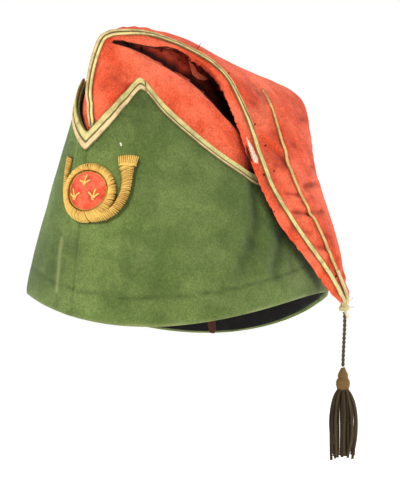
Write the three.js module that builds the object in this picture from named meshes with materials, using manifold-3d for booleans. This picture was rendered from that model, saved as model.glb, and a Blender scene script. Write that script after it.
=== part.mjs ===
// A soldier's pointed bonnet: a green turban with a notched front and two peaks, and a red bag that
// folds over its own crest to the wearer's left and hangs to a tassel on a short cord. Buff braids
// trim the turban's edge and the bag's seams, and a raised hunting horn sits on the front seam.
// Millimetres, +Z up. The front faces -Y and the wearer's left is +X. The origin is on the axis of
// the head, at the mean height of the rim.
import * as THREE from "three";
import { mergeVertices } from "three/addons/utils/BufferGeometryUtils.js";
import Module from "manifold-3d";

const wasm = await Module();
wasm.setup();

const degree = Math.PI / 180;
const meetingGap = 0.4; // between pieces that are sewn together

// Turban: the half length from the axis to the front or the back, and how it leans in with height
const turbanWall = 2.2;
const frontReach = 107.1;
const frontLean = 0.154;
const rimSwing = 11.5; // the rim rises and falls by this much, twice round
const rimTurn = 33; // degrees from the front to the rim's lower point on the wearer's left
const rimTilt = 3; // and its left front sits this much higher than its right back
const turbanLevels = 8;
const peakTurn = 40;
const columnsToPeak = 10;
const columnsBehindPeak = 18;

// Half the turban's width at each height
const turbanWidths = [
  { height: -14, half: 83.4 },
  { height: 17, half: 83 },
  { height: 32, half: 79.2 },
  { height: 50, half: 74.2 },
  { height: 70, half: 65.7 },
  { height: 90, half: 55.6 },
  { height: 110, half: 45.6 },
  { height: 128, half: 37 },
  { height: 148, half: 28.5 },
];

// The turban's upper edge, from the notch in front round to the back, the same on both sides
const turbanEdge = [
  { turn: 0, height: 106.7 },
  { turn: peakTurn, height: 141.5 },
  { turn: 47, height: 129 },
  { turn: 61, height: 110 },
  { turn: 75.5, height: 92.2 },
  { turn: 88, height: 81.5 },
  { turn: 112, height: 71.5 },
  { turn: 139, height: 64 },
  { turn: 180, height: 60 },
];

// Soft dents in the cloth: each runs from one place to another and fades over its spread
const turbanDents = [
  { fromTurn: 86, fromHeight: 74, toTurn: 74, toHeight: 47, spread: 7, depth: 1.8 },
  { fromTurn: 92, fromHeight: 33, toTurn: 97, toHeight: 29, spread: 13, depth: 1.8 },
  { fromTurn: -40, fromHeight: 70, toTurn: -52, toHeight: 40, spread: 12, depth: 1.5 },
  { fromTurn: 165, fromHeight: 45, toTurn: 160, toHeight: 12, spread: 11, depth: 1.6 },
];

// Sweatband
const bandThickness = 0.9;
const bandHeight = 30;
const bandGap = 0.8;
const bandAboveRim = 1.2;
const bandStripTurn = 210.6;
const bandStripWidth = 5.5;
const bandStripHeight = 22;

// Bag
const bagWall = 1.6;
const foldedEdge = 1.8; // the hollow stops this many wall thicknesses short of a folded edge
const hollowLean = 0.7; // its other points lean by this share of the wall towards the cloth across
const bagColumns = 8;
const cellsPerColumn = 4;
const bagCells = bagColumns * cellsPerColumn;
const cellsPerRow = 3;
const bagInset = turbanWall + 0.9;
const hemDepth = 18; // how far the bag goes down inside the turban
const creasedRows = 3; // fold rows whose front seam stands as a sharp crease

// The bag's folded rows above the turban. Each lists eight points round the bag: the front seam, then
// the wearer's right side, the back seam, and the left side that turns in under the fold.
const foldRows = [
  {
    front: [0, -87, 136], rightFront: [-19, -57, 142], right: [-44, -1, 112], rightBack: [-34, 62, 95],
    back: [2, 86, 95], leftBack: [46, 61, 84], left: [51, -1, 99], leftFront: [27, -44, 138.5],
  },
  {
    front: [0, -78.5, 159], rightFront: [-11, -55, 160], right: [-25, -3, 144], rightBack: [-16, 52, 126],
    back: [9, 80, 118], leftBack: [42, 56, 96], left: [46, -1, 109.5], leftFront: [24, -27, 141],
  },
  {
    front: [1, -68, 166.5], rightFront: [-1, -52, 170.5], right: [-1, -5, 166], rightBack: [6, 42, 146],
    back: [17, 72, 133], leftBack: [26, 52, 110], left: [21, 6, 120], leftFront: [12, -26, 142],
  },
  {
    front: [9, -42, 158.5], rightFront: [9, -31, 164.5], right: [14, 10, 157.5], rightBack: [20, 42, 145.5],
    back: [26, 70, 137], leftBack: [26, 50, 130], left: [21, 9, 146], leftFront: [12, -24, 154],
  },
  {
    front: [25, -3.5, 141], rightFront: [30, -0.5, 147.2], right: [33, 33, 139], rightBack: [33, 58, 137.5],
    back: [35, 76.6, 130.8], leftBack: [31, 60, 127], left: [29, 26, 134], leftFront: [25.5, 3, 139.5],
  },
];

// The hanging flap at each height: its front and back edges, how far it stands out and in between
// them, and where its two seams lie, as shares of the way from the front edge to the back edge.
const flapRows = [
  { height: 120, front: [43.5, -5], back: [42.6, 75.4], out: 8, inward: 2.5, seam: 0.09, sideSeam: 0.39 },
  { height: 88, front: [61, -10], back: [58, 61.5], out: 7.5, inward: 1.5, seam: 0.09, sideSeam: 0.4 },
  { height: 68, front: [72, -10], back: [69.5, 54.5], out: 6.5, inward: 1.5, seam: 0.11, sideSeam: 0.45 },
  { height: 48, front: [80.5, -3.5], back: [81.5, 49.5], out: 4.5, inward: 1.5, seam: 0.2, sideSeam: 0.57 },
  { height: 29, front: [84.5, 18], back: [86, 49.5], out: 3.2, inward: 1.5, seam: 0.28, sideSeam: 0.57 },
  { height: 12, front: [86.3, 36.5], back: [87.5, 52], out: 2.6, inward: 1.6, seam: 0.38, sideSeam: 0.66 },
];
const flapPoint = [88.3, 48, 5];

// Braids, all of two cords side by side. The turban's is widest at the notch, where its arms meet.
const edgeBraidNotchWidth = 8;
const edgeBraidWidth = 5.8;
const edgeBraidHeight = 2;
const frontBraidWidth = 4.4;
const frontBraidNarrow = 3.3;
const frontBraidHeight = 2;
const frontBraidStartRow = 1.08;
const sidePipingWidth = 2.8;
const sidePipingHeight = 1.5;
const seamGap = 0.6; // a braid's foot clears the flat facets of the cloth's curve
const sidePipingStartRow = 6.25;
const seamEndRow = 12.2;

// Badge, measured round the cloth from the front seam and up from the rim
const hornRing = { across: 4.5, height: 71.1, radius: 17.3, proud: 2.8 };
const discHole = { across: 4, height: 72.3, halfWidth: 13.4, halfHeight: 12.3 };
const discDome = 2.2;

// The horn's branches as seen from in front: place, width and how proud they stand
const bellStations = [
  { across: 9, height: 56.4, width: 4.6, proud: 3 },
  { across: 16.4, height: 57.2, width: 4.6, proud: 3.4 },
  { across: 22.2, height: 60.6, width: 4.6, proud: 3.6 },
  { across: 26, height: 66.6, width: 4.8, proud: 3.6 },
  { across: 27.5, height: 73, width: 4.9, proud: 3.6 },
  { across: 27.6, height: 80, width: 5.6, proud: 3.6 },
  { across: 27.1, height: 85, width: 7, proud: 3.6 },
  { across: 26.8, height: 88, width: 9.4, proud: 3.4 },
  { across: 26.8, height: 90.6, width: 11.2, proud: 3.2 },
  { across: 26.9, height: 92.2, width: 11, proud: 2.6 },
];
const mouthpieceStations = [
  { across: -9.8, height: 65, width: 3, proud: 2.4 },
  { across: -12.6, height: 73, width: 2.8, proud: 2.2 },
  { across: -13.5, height: 81.5, width: 2.6, proud: 2.1 },
  { across: -13, height: 87.5, width: 2.8, proud: 2.1 },
  { across: -12.4, height: 91.4, width: 3.4, proud: 2.2 },
  { across: -12.2, height: 92.7, width: 3.4, proud: 1.9 },
];

// Stitched sprigs on the disc: a place, a height and the lean of each blade in degrees
const sprigs = [
  { name: "badge_sprig_top", across: 3.2, height: 78.4, length: 5.4, blades: [-42, 0, 42] },
  { name: "badge_sprig_left", across: -3.4, height: 70, length: 6.4, blades: [-24, 12] },
  { name: "badge_sprig_right", across: 9.2, height: 70, length: 6.4, blades: [-12, 24] },
];
const sprigBladeWidth = 1.3;
const sprigProud = 0.8;

// Knot, cord and tassel
const knotRadius = 3;
const knotTop = 4.4;
const knotBottom = 0.6;
const cordDiameter = 2.2;
const cordRoute = [
  [88.6, 48.2, 0.2],
  [88.7, 48.3, -4],
  [88.6, 48.3, -9],
  [88.4, 48.1, -15],
  [88.2, 47.9, -21],
  [88, 47.7, -27],
  [87.9, 47.6, -32.6],
];
const tasselTop = -33;
const tasselHead = [
  { drop: 0, radius: 0 },
  { drop: 0.3, radius: 1.1 },
  { drop: 3, radius: 2.4 },
  { drop: 5.4, radius: 3.1 },
  { drop: 6.6, radius: 2.9 },
  { drop: 7.4, radius: 3.7 },
  { drop: 9.4, radius: 4.2 },
  { drop: 12, radius: 3.9 },
  { drop: 14.2, radius: 3.3 },
  { drop: 17, radius: 2.4 },
  { drop: 17, radius: 0 },
];
const lockCount = 10;
const lockRadius = 1.7;
const lockSpread = 6.6;
const lockDrop = 53;

// A smooth curve through the rows of a table, read at any value of one column
function readTable(rows, keyColumn, valueColumn, key) {
  const last = rows.length - 1;
  const clamped = THREE.MathUtils.clamp(key, rows[0][keyColumn], rows[last][keyColumn]);
  let i = 0;
  while (i < last - 1 && rows[i + 1][keyColumn] < clamped) i++;
  const span = rows[i + 1][keyColumn] - rows[i][keyColumn];
  const rise = (a, b) =>
    (rows[b][valueColumn] - rows[a][valueColumn]) / (rows[b][keyColumn] - rows[a][keyColumn]);
  const before = rise(Math.max(i - 1, 0), i + 1);
  const after = rise(i, Math.min(i + 2, last));
  const t = (clamped - rows[i][keyColumn]) / span;
  const start = rows[i][valueColumn] * (1 + 2 * t) * (1 - t) ** 2 + before * span * t * (1 - t) ** 2;
  return start + rows[i + 1][valueColumn] * t * t * (3 - 2 * t) + after * span * t * t * (t - 1);
}

// The height of the turban's edge: straight up from the notch to the peak, then a falling curve
function edgeHeight(turn) {
  const around = Math.abs(THREE.MathUtils.euclideanModulo(turn + 180, 360) - 180);
  if (around <= peakTurn) {
    return THREE.MathUtils.lerp(turbanEdge[0].height, turbanEdge[1].height, around / peakTurn);
  }
  return readTable(turbanEdge.slice(1), "turn", "height", around);
}

function rimHeight(turn) {
  return rimTilt * Math.cos((turn - rimTurn) * degree) - rimSwing * Math.cos(2 * (turn - rimTurn) * degree);
}

// How far the cloth is pushed in at one place of the turban
function dentDepth(turn, height) {
  const arc = 80 * degree; // millimetres of cloth for each degree, near enough for a dent
  const wrapped = THREE.MathUtils.euclideanModulo(turn + 180, 360) - 180;
  let depth = 0;
  for (const dent of turbanDents) {
    const along = new THREE.Vector2((dent.toTurn - dent.fromTurn) * arc, dent.toHeight - dent.fromHeight);
    const here = new THREE.Vector2((wrapped - dent.fromTurn) * arc, height - dent.fromHeight);
    const share = THREE.MathUtils.clamp(here.dot(along) / along.lengthSq(), 0, 1);
    const away = here.addScaledVector(along, -share).length() / dent.spread;
    depth += dent.depth * Math.exp(-away * away);
  }
  return depth;
}

// A point of the turban's outer face, lifted off it (or sunk, below zero) along the face's normal
function onTurban(turn, height, lift = 0) {
  const halfWidth = (h) => readTable(turbanWidths, "height", "half", h);
  const side = halfWidth(height);
  const sideSlope = halfWidth(height + 0.5) - halfWidth(height - 0.5);
  const front = frontReach - frontLean * height;
  const sin = Math.sin(turn * degree);
  const cos = Math.cos(turn * degree);
  const normal = new THREE.Vector3(
    sin / side,
    -cos / front,
    -(sin * sin * sideSlope) / side + (cos * cos * frontLean) / front,
  ).normalize();
  const point = new THREE.Vector3(side * sin, -front * cos, height);
  return point.addScaledVector(normal, lift - dentDepth(turn, height));
}

// The same face, reached by the length of cloth from the front seam instead of by the turn
function onFront(across, height, lift = 0) {
  const steps = 24;
  const front = frontReach - frontLean * height;
  const side = readTable(turbanWidths, "height", "half", height);
  let turn = 0;
  for (let i = 0; i < steps; i++) {
    const length = Math.hypot(side * Math.cos(turn), front * Math.sin(turn));
    turn += across / steps / length;
  }
  return onTurban(turn / degree, height, lift);
}

// A closed mesh skinned over rings with the same number of points each. The rings join end to end
// in a loop, or the first and last are closed with a fan.
function skin(rings, looped = false) {
  const count = rings[0].length;
  const positions = rings.flat().flatMap((p) => [p.x, p.y, p.z]);
  const index = [];
  const stations = looped ? rings.length : rings.length - 1;
  for (let i = 0; i < stations; i++) {
    const here = i * count;
    const next = ((i + 1) % rings.length) * count;
    for (let j = 0; j < count; j++) {
      const k = (j + 1) % count;
      index.push(here + j, here + k, next + k, here + j, next + k, next + j);
    }
  }
  if (!looped) {
    for (const [ring, flip] of [[0, true], [rings.length - 1, false]]) {
      const centre = rings[ring].reduce((sum, p) => sum.add(p), new THREE.Vector3()).divideScalar(count);
      const hub = positions.length / 3;
      positions.push(centre.x, centre.y, centre.z);
      for (let j = 0; j < count; j++) {
        const a = ring * count + j;
        const b = ring * count + ((j + 1) % count);
        index.push(...(flip ? [b, a, hub] : [a, b, hub]));
      }
    }
  }
  const geometry = new THREE.BufferGeometry();
  geometry.setAttribute("position", new THREE.Float32BufferAttribute(positions, 3));
  geometry.setIndex(index);
  return facingOut(geometry);
}

// The signed volume says which way a closed mesh faces
function facingOut(geometry) {
  const p = geometry.getAttribute("position");
  const index = geometry.index.array;
  const [a, b, c] = [new THREE.Vector3(), new THREE.Vector3(), new THREE.Vector3()];
  let volume = 0;
  for (let i = 0; i < index.length; i += 3) {
    a.fromBufferAttribute(p, index[i]);
    b.fromBufferAttribute(p, index[i + 1]);
    c.fromBufferAttribute(p, index[i + 2]);
    volume += a.dot(b.cross(c));
  }
  if (volume < 0) {
    for (let i = 0; i < index.length; i += 3) {
      [index[i + 1], index[i + 2]] = [index[i + 2], index[i + 1]];
    }
  }
  geometry.computeVertexNormals();
  return geometry;
}

// Several closed meshes joined into one solid
function joined(geometries) {
  const solids = geometries.map((geometry) => {
    const plain = geometry.clone();
    for (const name of ["normal", "uv"]) plain.deleteAttribute(name);
    const merged = mergeVertices(plain, 1e-4);
    return new wasm.Manifold(
      new wasm.Mesh({
        numProp: 3,
        vertProperties: merged.getAttribute("position").array,
        triVerts: new Uint32Array(merged.index.array),
      }),
    );
  });
  const mesh = solids.reduce((sum, solid) => sum.add(solid)).getMesh();
  const geometry = new THREE.BufferGeometry();
  geometry.setAttribute("position", new THREE.BufferAttribute(mesh.vertProperties, 3));
  geometry.setIndex(new THREE.BufferAttribute(mesh.triVerts, 1));
  geometry.computeVertexNormals();
  return geometry;
}

function turbanTurns() {
  const turns = [];
  for (let i = 0; i < columnsToPeak; i++) turns.push((peakTurn * i) / columnsToPeak);
  const sweep = 360 - 2 * peakTurn;
  for (let i = 0; i < 2 * columnsBehindPeak; i++) {
    turns.push(peakTurn + (sweep * i) / (2 * columnsBehindPeak));
  }
  for (let i = columnsToPeak; i > 0; i--) turns.push(360 - (peakTurn * i) / columnsToPeak);
  return turns;
}

function turban() {
  return skin(
    turbanTurns().map((turn) => {
      const heights = Array.from({ length: turbanLevels }, (_, i) =>
        THREE.MathUtils.lerp(rimHeight(turn), edgeHeight(turn), i / (turbanLevels - 1)),
      );
      const outer = heights.map((height) => onTurban(turn, height));
      const inner = heights.map((height) => onTurban(turn, height, -turbanWall));
      return [...outer, ...inner.reverse()];
    }),
    true,
  );
}

// The cross-section of a braid: shares of its width and of its height, with one cord or two
const twoCords = [
  { across: 0, up: 0 },
  { across: 0, up: 0.55 },
  { across: 0.12, up: 0.92 },
  { across: 0.28, up: 1 },
  { across: 0.5, up: 0.62 },
  { across: 0.72, up: 1 },
  { across: 0.88, up: 0.92 },
  { across: 1, up: 0.55 },
  { across: 1, up: 0 },
];
const oneCord = [
  { across: 0, up: 0 },
  { across: 0, up: 0.6 },
  { across: 0.25, up: 1 },
  { across: 0.75, up: 1 },
  { across: 1, up: 0.6 },
  { across: 1, up: 0 },
];

// The edge braid's width is measured square to the edge, so it is taller where the edge is steep
function turbanBraid() {
  return skin(
    turbanTurns().map((turn) => {
      const step = 1.5;
      const around = Math.abs(THREE.MathUtils.euclideanModulo(turn + 180, 360) - 180);
      const from = around < step ? around : around - step;
      const to = around < step ? around + step : around;
      const rise = edgeHeight(to) - edgeHeight(from);
      const run = onTurban(to, edgeHeight(to)).sub(onTurban(from, edgeHeight(from)));
      const slant = Math.hypot(run.x, run.y, rise) / Math.hypot(run.x, run.y);
      const nearNotch = 1 - THREE.MathUtils.smoothstep(around, 0, peakTurn);
      const tall = THREE.MathUtils.lerp(edgeBraidWidth, edgeBraidNotchWidth, nearNotch) * slant;
      const top = edgeHeight(turn) + 0.3;
      return twoCords.map(({ across, up }) =>
        onTurban(turn, top - tall * across, seamGap + edgeBraidHeight * up),
      );
    }),
    true,
  );
}

function sweatband() {
  const levels = 3;
  const inset = turbanWall + bandGap;
  return skin(
    turbanTurns().map((turn) => {
      const low = rimHeight(turn) + bandAboveRim;
      const heights = Array.from({ length: levels }, (_, i) => low + (bandHeight * i) / (levels - 1));
      const outer = heights.map((height) => onTurban(turn, height, -inset));
      const inner = heights.map((height) => onTurban(turn, height, -inset - bandThickness));
      return [...outer, ...inner.reverse()];
    }),
    true,
  );
}

// A strip that covers the band's join, on the band's inner face
function sweatbandStrip() {
  const inset = turbanWall + bandGap + bandThickness + meetingGap;
  const half = bandStripWidth / 2 / (88 * degree);
  const low = rimHeight(bandStripTurn) + 0.3;
  return skin(
    [-half, 0, half].map((offset) => {
      const turn = bandStripTurn + offset;
      const heights = [low, low + bandStripHeight / 2, low + bandStripHeight];
      const outer = heights.map((height) => onTurban(turn, height, -inset));
      const inner = heights.map((height) => onTurban(turn, height, -inset - bandThickness));
      return [...outer, ...inner.reverse()];
    }),
  );
}

// Catmull-Rom between two values, with their neighbours
function smooth(before, start, end, after, t) {
  return start
    .clone()
    .multiplyScalar(2)
    .addScaledVector(end.clone().sub(before), t)
    .addScaledVector(
      before.clone().multiplyScalar(2).addScaledVector(start, -5).addScaledVector(end, 4).sub(after),
      t * t,
    )
    .addScaledVector(
      before.clone().negate().addScaledVector(start, 3).addScaledVector(end, -3).add(after),
      t ** 3,
    )
    .multiplyScalar(0.5);
}

// The eight points of a flap row, from its front edge over the outer face to its back edge. The
// hollow's row lies inside the outer one by the wall, and stops short of the folded edges.
function flapLoop(row, wall) {
  const back = new THREE.Vector3(...row.back, row.height);
  const front = new THREE.Vector3(...row.front, row.height);
  const along = back.clone().sub(front).normalize();
  const outward = along.clone().cross(new THREE.Vector3(0, 0, 1));
  front.addScaledVector(along, wall * foldedEdge);
  back.addScaledVector(along, -wall * foldedEdge);
  const bulge = (share) => (4 * share * (1 - share)) ** 0.55;
  const at = (share, stand) => front.clone().lerp(back, share).addScaledVector(outward, stand * bulge(share));
  return [
    front,
    at(row.seam, row.out - wall),
    at(row.sideSeam, row.out - wall),
    at((row.sideSeam + 1) / 2, row.out - wall),
    back,
    at(0.8, wall - row.inward),
    at(0.5, wall - row.inward),
    at(0.2, wall - row.inward),
  ];
}

// A closed loop through eight points, with a sharp crease at the first one if it is asked for
function loopThrough(points, creased) {
  return Array.from({ length: bagCells }, (_, j) => {
    const i = Math.floor(j / cellsPerColumn);
    const near = (k) => points[(i + k + bagColumns) % bagColumns];
    const beyond = (corner, inside) => corner.clone().multiplyScalar(2).sub(inside);
    const before = creased && i === 0 ? beyond(near(0), near(1)) : near(-1);
    const after = creased && i === bagColumns - 1 ? beyond(near(1), near(0)) : near(2);
    return smooth(before, near(0), near(1), after, (j % cellsPerColumn) / cellsPerColumn);
  });
}

// A loop inside the turban's edge, above or below it
function loopInTurban(above, inset) {
  return Array.from({ length: bagCells }, (_, j) => {
    const turn = (-360 * j) / bagCells;
    return onTurban(turn, edgeHeight(turn) + above, -inset);
  });
}

// A point of a face given by its rows of loops: row from the hem, cell round from the front seam
function onFace(face, row, cell) {
  const last = face.length - 1;
  const i = Math.min(Math.floor(row), last - 1);
  const near = (k, j) => face[THREE.MathUtils.clamp(i + k, 0, last)][(j + bagCells) % bagCells];
  const along = (j) => smooth(near(-1, j), near(0, j), near(1, j), near(2, j), row - i);
  const j = Math.floor(cell);
  if (cell === j) return along(j);
  return smooth(along(j - 1), along(j), along(j + 1), along(j + 2), cell - j);
}

function faceNormal(face, row, cell) {
  const last = face.length - 1;
  const step = 0.06;
  const onward = onFace(face, Math.min(row + step, last), cell);
  onward.sub(onFace(face, Math.max(row - step, 0), cell));
  const round = onFace(face, row, cell + 0.3).sub(onFace(face, row, cell - 0.3));
  return onward.cross(round).normalize();
}

// The bag's outer face: two rows inside the turban's edge, the fold, the flap and its point
function outerRows() {
  const point = new THREE.Vector3(...flapPoint);
  const flaps = flapRows.map((row) => loopThrough(flapLoop(row, 0), false));
  const end = flaps.at(-1).map((p) => p.clone().setZ(point.z).lerp(point, 0.82));
  return [
    loopInTurban(-hemDepth, bagInset + 1),
    loopInTurban(2, bagInset),
    ...foldRows.map((row, i) => loopThrough(foldPoints(row), i < creasedRows)),
    ...flaps,
    end,
  ];
}

function foldPoints(row) {
  return Object.values(row).map((place) => new THREE.Vector3(...place));
}

const bagFace = outerRows();

// The hollow's face, which ends before the point. Each point of a fold row moves in, square to the
// cloth and a little towards the point across from it. Those on the folded edges move to between
// their neighbours.
function hollowRows() {
  const folds = foldRows.map((row, i) => {
    const points = foldPoints(row);
    const inset = points.map((p, k) => {
      if (k % (bagColumns / 2) === 0) {
        const middle = points[k + 1].clone().lerp(points[(k + bagColumns - 1) % bagColumns], 0.5);
        return p.clone().addScaledVector(middle.sub(p).normalize(), bagWall * foldedEdge);
      }
      const inward = points[bagColumns - k].clone().sub(p).normalize().multiplyScalar(hollowLean);
      inward.sub(faceNormal(bagFace, i + 2, k * cellsPerColumn));
      return p.clone().addScaledVector(inward.normalize(), bagWall);
    });
    return loopThrough(inset, i < creasedRows);
  });
  return [
    loopInTurban(-hemDepth, bagInset + 1 + bagWall),
    loopInTurban(2, bagInset + bagWall * 1.5),
    ...folds,
    ...flapRows.slice(0, -1).map((row) => loopThrough(flapLoop(row, bagWall), false)),
  ];
}

function bag() {
  const rings = (face) =>
    Array.from({ length: (face.length - 1) * cellsPerRow + 1 }, (_, i) =>
      Array.from({ length: bagCells }, (__, j) => onFace(face, i / cellsPerRow, j)),
    );
  return skin([...rings(hollowRows()).reverse(), ...rings(bagFace)]);
}

// A braid laid along a seam of the bag, from row to row. The seam may move over between columns.
function seamBraid(from, to, cellAt, widthAt, tall, section) {
  const steps = Math.round((to - from) * cellsPerRow);
  const rings = [];
  for (let i = 0; i <= steps; i++) {
    const row = from + ((to - from) * i) / steps;
    const cell = cellAt(row);
    const centre = onFace(bagFace, row, cell);
    const ahead = onFace(bagFace, row + 0.1, cellAt(row + 0.1));
    ahead.sub(onFace(bagFace, row - 0.1, cellAt(row - 0.1)));
    const normal = faceNormal(bagFace, row, cell);
    const across = ahead.cross(normal).normalize();
    rings.push(
      section.map((place) =>
        centre
          .clone()
          .addScaledVector(across, (place.across - 0.5) * widthAt(row))
          .addScaledVector(normal, seamGap + tall * place.up),
      ),
    );
  }
  return skin(rings);
}

function frontBraid() {
  return seamBraid(
    frontBraidStartRow,
    seamEndRow,
    (row) => cellsPerColumn * THREE.MathUtils.smoothstep(row, 4, 5),
    (row) => THREE.MathUtils.lerp(frontBraidWidth, frontBraidNarrow, THREE.MathUtils.smoothstep(row, 4, 6)),
    frontBraidHeight,
    twoCords,
  );
}

function sidePiping() {
  return seamBraid(
    sidePipingStartRow,
    seamEndRow,
    () => 2 * cellsPerColumn,
    (row) => sidePipingWidth * (0.3 + 0.7 * THREE.MathUtils.smoothstep(row, sidePipingStartRow, 8)),
    sidePipingHeight,
    oneCord,
  );
}

// The section of the badge's padded gold work, on the cloth
const paddedSection = [
  { across: -0.5, up: 0 },
  { across: -0.5, up: 0.35 },
  { across: -0.32, up: 0.8 },
  { across: 0, up: 1 },
  { across: 0.32, up: 0.8 },
  { across: 0.5, up: 0.35 },
  { across: 0.5, up: 0 },
  { across: 0, up: 0 },
];

// A padded branch through its stations, each a section square to the way the branch runs
function paddedRings(stations, looped) {
  const count = stations.length;
  return stations.map((station, i) => {
    const before = stations[looped ? (i + count - 1) % count : Math.max(i - 1, 0)];
    const after = stations[looped ? (i + 1) % count : Math.min(i + 1, count - 1)];
    const way = new THREE.Vector2(after.across - before.across, after.height - before.height).normalize();
    return paddedSection.map(({ across, up }) =>
      onFront(
        station.across + way.y * across * station.width,
        station.height - way.x * across * station.width,
        meetingGap + up * station.proud,
      ),
    );
  });
}

// The ring fills the space between its round outer edge and the disc's oval hole
function badgeHorn() {
  const stationCount = 26;
  const ring = Array.from({ length: stationCount }, (_, i) => {
    const angle = (2 * Math.PI * i) / stationCount;
    const outer = [
      hornRing.across + hornRing.radius * Math.cos(angle),
      hornRing.height + hornRing.radius * Math.sin(angle),
    ];
    const inner = [
      discHole.across + discHole.halfWidth * Math.cos(angle),
      discHole.height + discHole.halfHeight * Math.sin(angle),
    ];
    return {
      across: (outer[0] + inner[0]) / 2,
      height: (outer[1] + inner[1]) / 2,
      width: Math.hypot(outer[0] - inner[0], outer[1] - inner[1]),
      proud: hornRing.proud,
    };
  });
  return joined([
    skin(paddedRings(ring, true), true),
    skin(paddedRings(bellStations, false)),
    skin(paddedRings(mouthpieceStations, false)),
  ]);
}

function badgeDisc() {
  const sides = 24;
  const oval = (share, lift) =>
    Array.from({ length: sides }, (_, i) => {
      const angle = (2 * Math.PI * i) / sides;
      const across = discHole.across + (discHole.halfWidth - meetingGap) * share * Math.cos(angle);
      const height = discHole.height + (discHole.halfHeight - meetingGap) * share * Math.sin(angle);
      return onFront(across, height, lift);
    });
  return skin([
    oval(0.45, meetingGap),
    oval(1, meetingGap),
    oval(1, meetingGap + 0.5),
    oval(0.86, meetingGap + discDome * 0.6),
    oval(0.55, meetingGap + discDome * 0.92),
    oval(0.2, meetingGap + discDome),
  ]);
}

// The height of the disc's face above the turban at one place of it
function discFace(across, height) {
  const aside = (across - discHole.across) / discHole.halfWidth;
  const above = (height - discHole.height) / discHole.halfHeight;
  return meetingGap + discDome * (1 - 0.5 * (aside * aside + above * above));
}

// A sprig of short padded blades that spring from one foot
function badgeSprig(sprig) {
  return joined(
    sprig.blades.map((lean) => {
      const way = new THREE.Vector2(Math.sin(lean * degree), Math.cos(lean * degree));
      const rings = [0, 0.5, 1].map((share) => {
        const width = sprigBladeWidth * (share === 1 ? 0.5 : 1);
        const across = sprig.across + way.x * sprig.length * share;
        const height = sprig.height - sprig.length * 0.4 + way.y * sprig.length * share;
        const face = discFace(across, height) + meetingGap;
        return [[-0.5, 0], [-0.5, 0.6], [0, 1], [0.5, 0.6], [0.5, 0]].map(([side, up]) =>
          onFront(across + way.y * side * width, height - way.x * side * width, face + up * sprigProud),
        );
      });
      return skin(rings);
    }),
  );
}

function tipBinding() {
  const profile = [
    [0, knotBottom],
    [knotRadius * 0.55, knotBottom],
    [knotRadius * 0.95, knotBottom + 1],
    [knotRadius, (knotTop + knotBottom) / 2],
    [knotRadius * 0.75, knotTop - 0.6],
    [knotRadius * 0.4, knotTop],
    [0, knotTop],
  ];
  const geometry = new THREE.LatheGeometry(profile.map(([r, z]) => new THREE.Vector2(r, z)), 14);
  return geometry.rotateX(Math.PI / 2).translate(flapPoint[0] + 0.2, flapPoint[1], 0);
}

function tasselCord() {
  const radius = cordDiameter / 2;
  const section = new THREE.Shape();
  for (let i = 0; i < 8; i++) {
    const angle = (2 * Math.PI * i) / 8;
    const corner = [radius * Math.cos(angle), radius * Math.sin(angle)];
    section[i ? "lineTo" : "moveTo"](...corner);
  }
  const route = new THREE.CatmullRomCurve3(cordRoute.map((p) => new THREE.Vector3(...p)));
  return new THREE.ExtrudeGeometry(section, { steps: 12, extrudePath: route });
}

// The tassel hangs straight down below the end of its cord: a turned head and a ring of locks
function tassel() {
  const foot = cordRoute.at(-1);
  const profile = tasselHead.map(({ drop, radius }) => new THREE.Vector2(radius, -drop));
  const head = new THREE.LatheGeometry(profile.reverse(), 14).rotateX(Math.PI / 2);
  const locks = Array.from({ length: lockCount }, (_, i) => {
    const angle = (2 * Math.PI * i) / lockCount;
    const longer = 2.5 * Math.sin(i * 2.3);
    const stations = [
      { drop: 13.5, out: 2.2, size: 0.8 },
      { drop: 22, out: 0.62 * lockSpread, size: 1 },
      { drop: 34, out: lockSpread, size: 1.05 },
      { drop: 46, out: lockSpread * (1 + 0.05 * Math.sin(i * 1.7)), size: 1.1 },
      { drop: lockDrop - 2.5 + longer, out: lockSpread * 0.94, size: 0.9 },
    ];
    return skin(
      stations.map(({ drop, out, size }) =>
        Array.from({ length: 6 }, (_, k) => {
          const side = (2 * Math.PI * k) / 6;
          const reach = out + lockRadius * size * Math.cos(side);
          const wide = lockRadius * size * 1.35 * Math.sin(side);
          return new THREE.Vector3(
            reach * Math.cos(angle) - wide * Math.sin(angle),
            reach * Math.sin(angle) + wide * Math.cos(angle),
            -drop,
          );
        }),
      ),
    );
  });
  const core = new THREE.CylinderGeometry(3, 4.6, 32, 10).rotateX(Math.PI / 2).translate(0, 0, -32);
  return joined([head, core, ...locks]).translate(foot[0], foot[1], tasselTop);
}

// Cloth, braid and metal thread
const greenWool = { color: 0x67783f, roughness: 0.95 };
const redWool = { color: 0xe86a48, roughness: 0.93 };
const buffBraid = { color: 0xdcc48a, roughness: 0.8 };
const goldThread = { color: 0xd29f49, roughness: 0.55, metalness: 0.35 };
const redDisc = { color: 0xe85f44, roughness: 0.9 };
const blackLeather = { color: 0x15100d, roughness: 0.7 };
const brownLeather = { color: 0x5a2f20, roughness: 0.75 };
const paleThread = { color: 0xd8cda0, roughness: 0.9 };
const darkThread = { color: 0x3c2f1c, roughness: 0.85 };

const hat = new THREE.Group();

function add(name, geometry, finish) {
  const mesh = new THREE.Mesh(geometry, new THREE.MeshStandardMaterial({ metalness: 0, ...finish }));
  mesh.name = name;
  hat.add(mesh);
}

add("turban", turban(), greenWool);
add("turban_braid", turbanBraid(), buffBraid);
add("flame", bag(), redWool);
add("front_braid", frontBraid(), buffBraid);
add("side_piping", sidePiping(), buffBraid);
add("badge_horn", badgeHorn(), goldThread);
add("badge_disc", badgeDisc(), redDisc);
for (const sprig of sprigs) add(sprig.name, badgeSprig(sprig), goldThread);
add("sweatband", sweatband(), blackLeather);
add("sweatband_strip", sweatbandStrip(), brownLeather);
add("tip_binding", tipBinding(), paleThread);
add("tassel_cord", tasselCord(), darkThread);
add("tassel", tassel(), darkThread);

export default hat;
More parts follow.
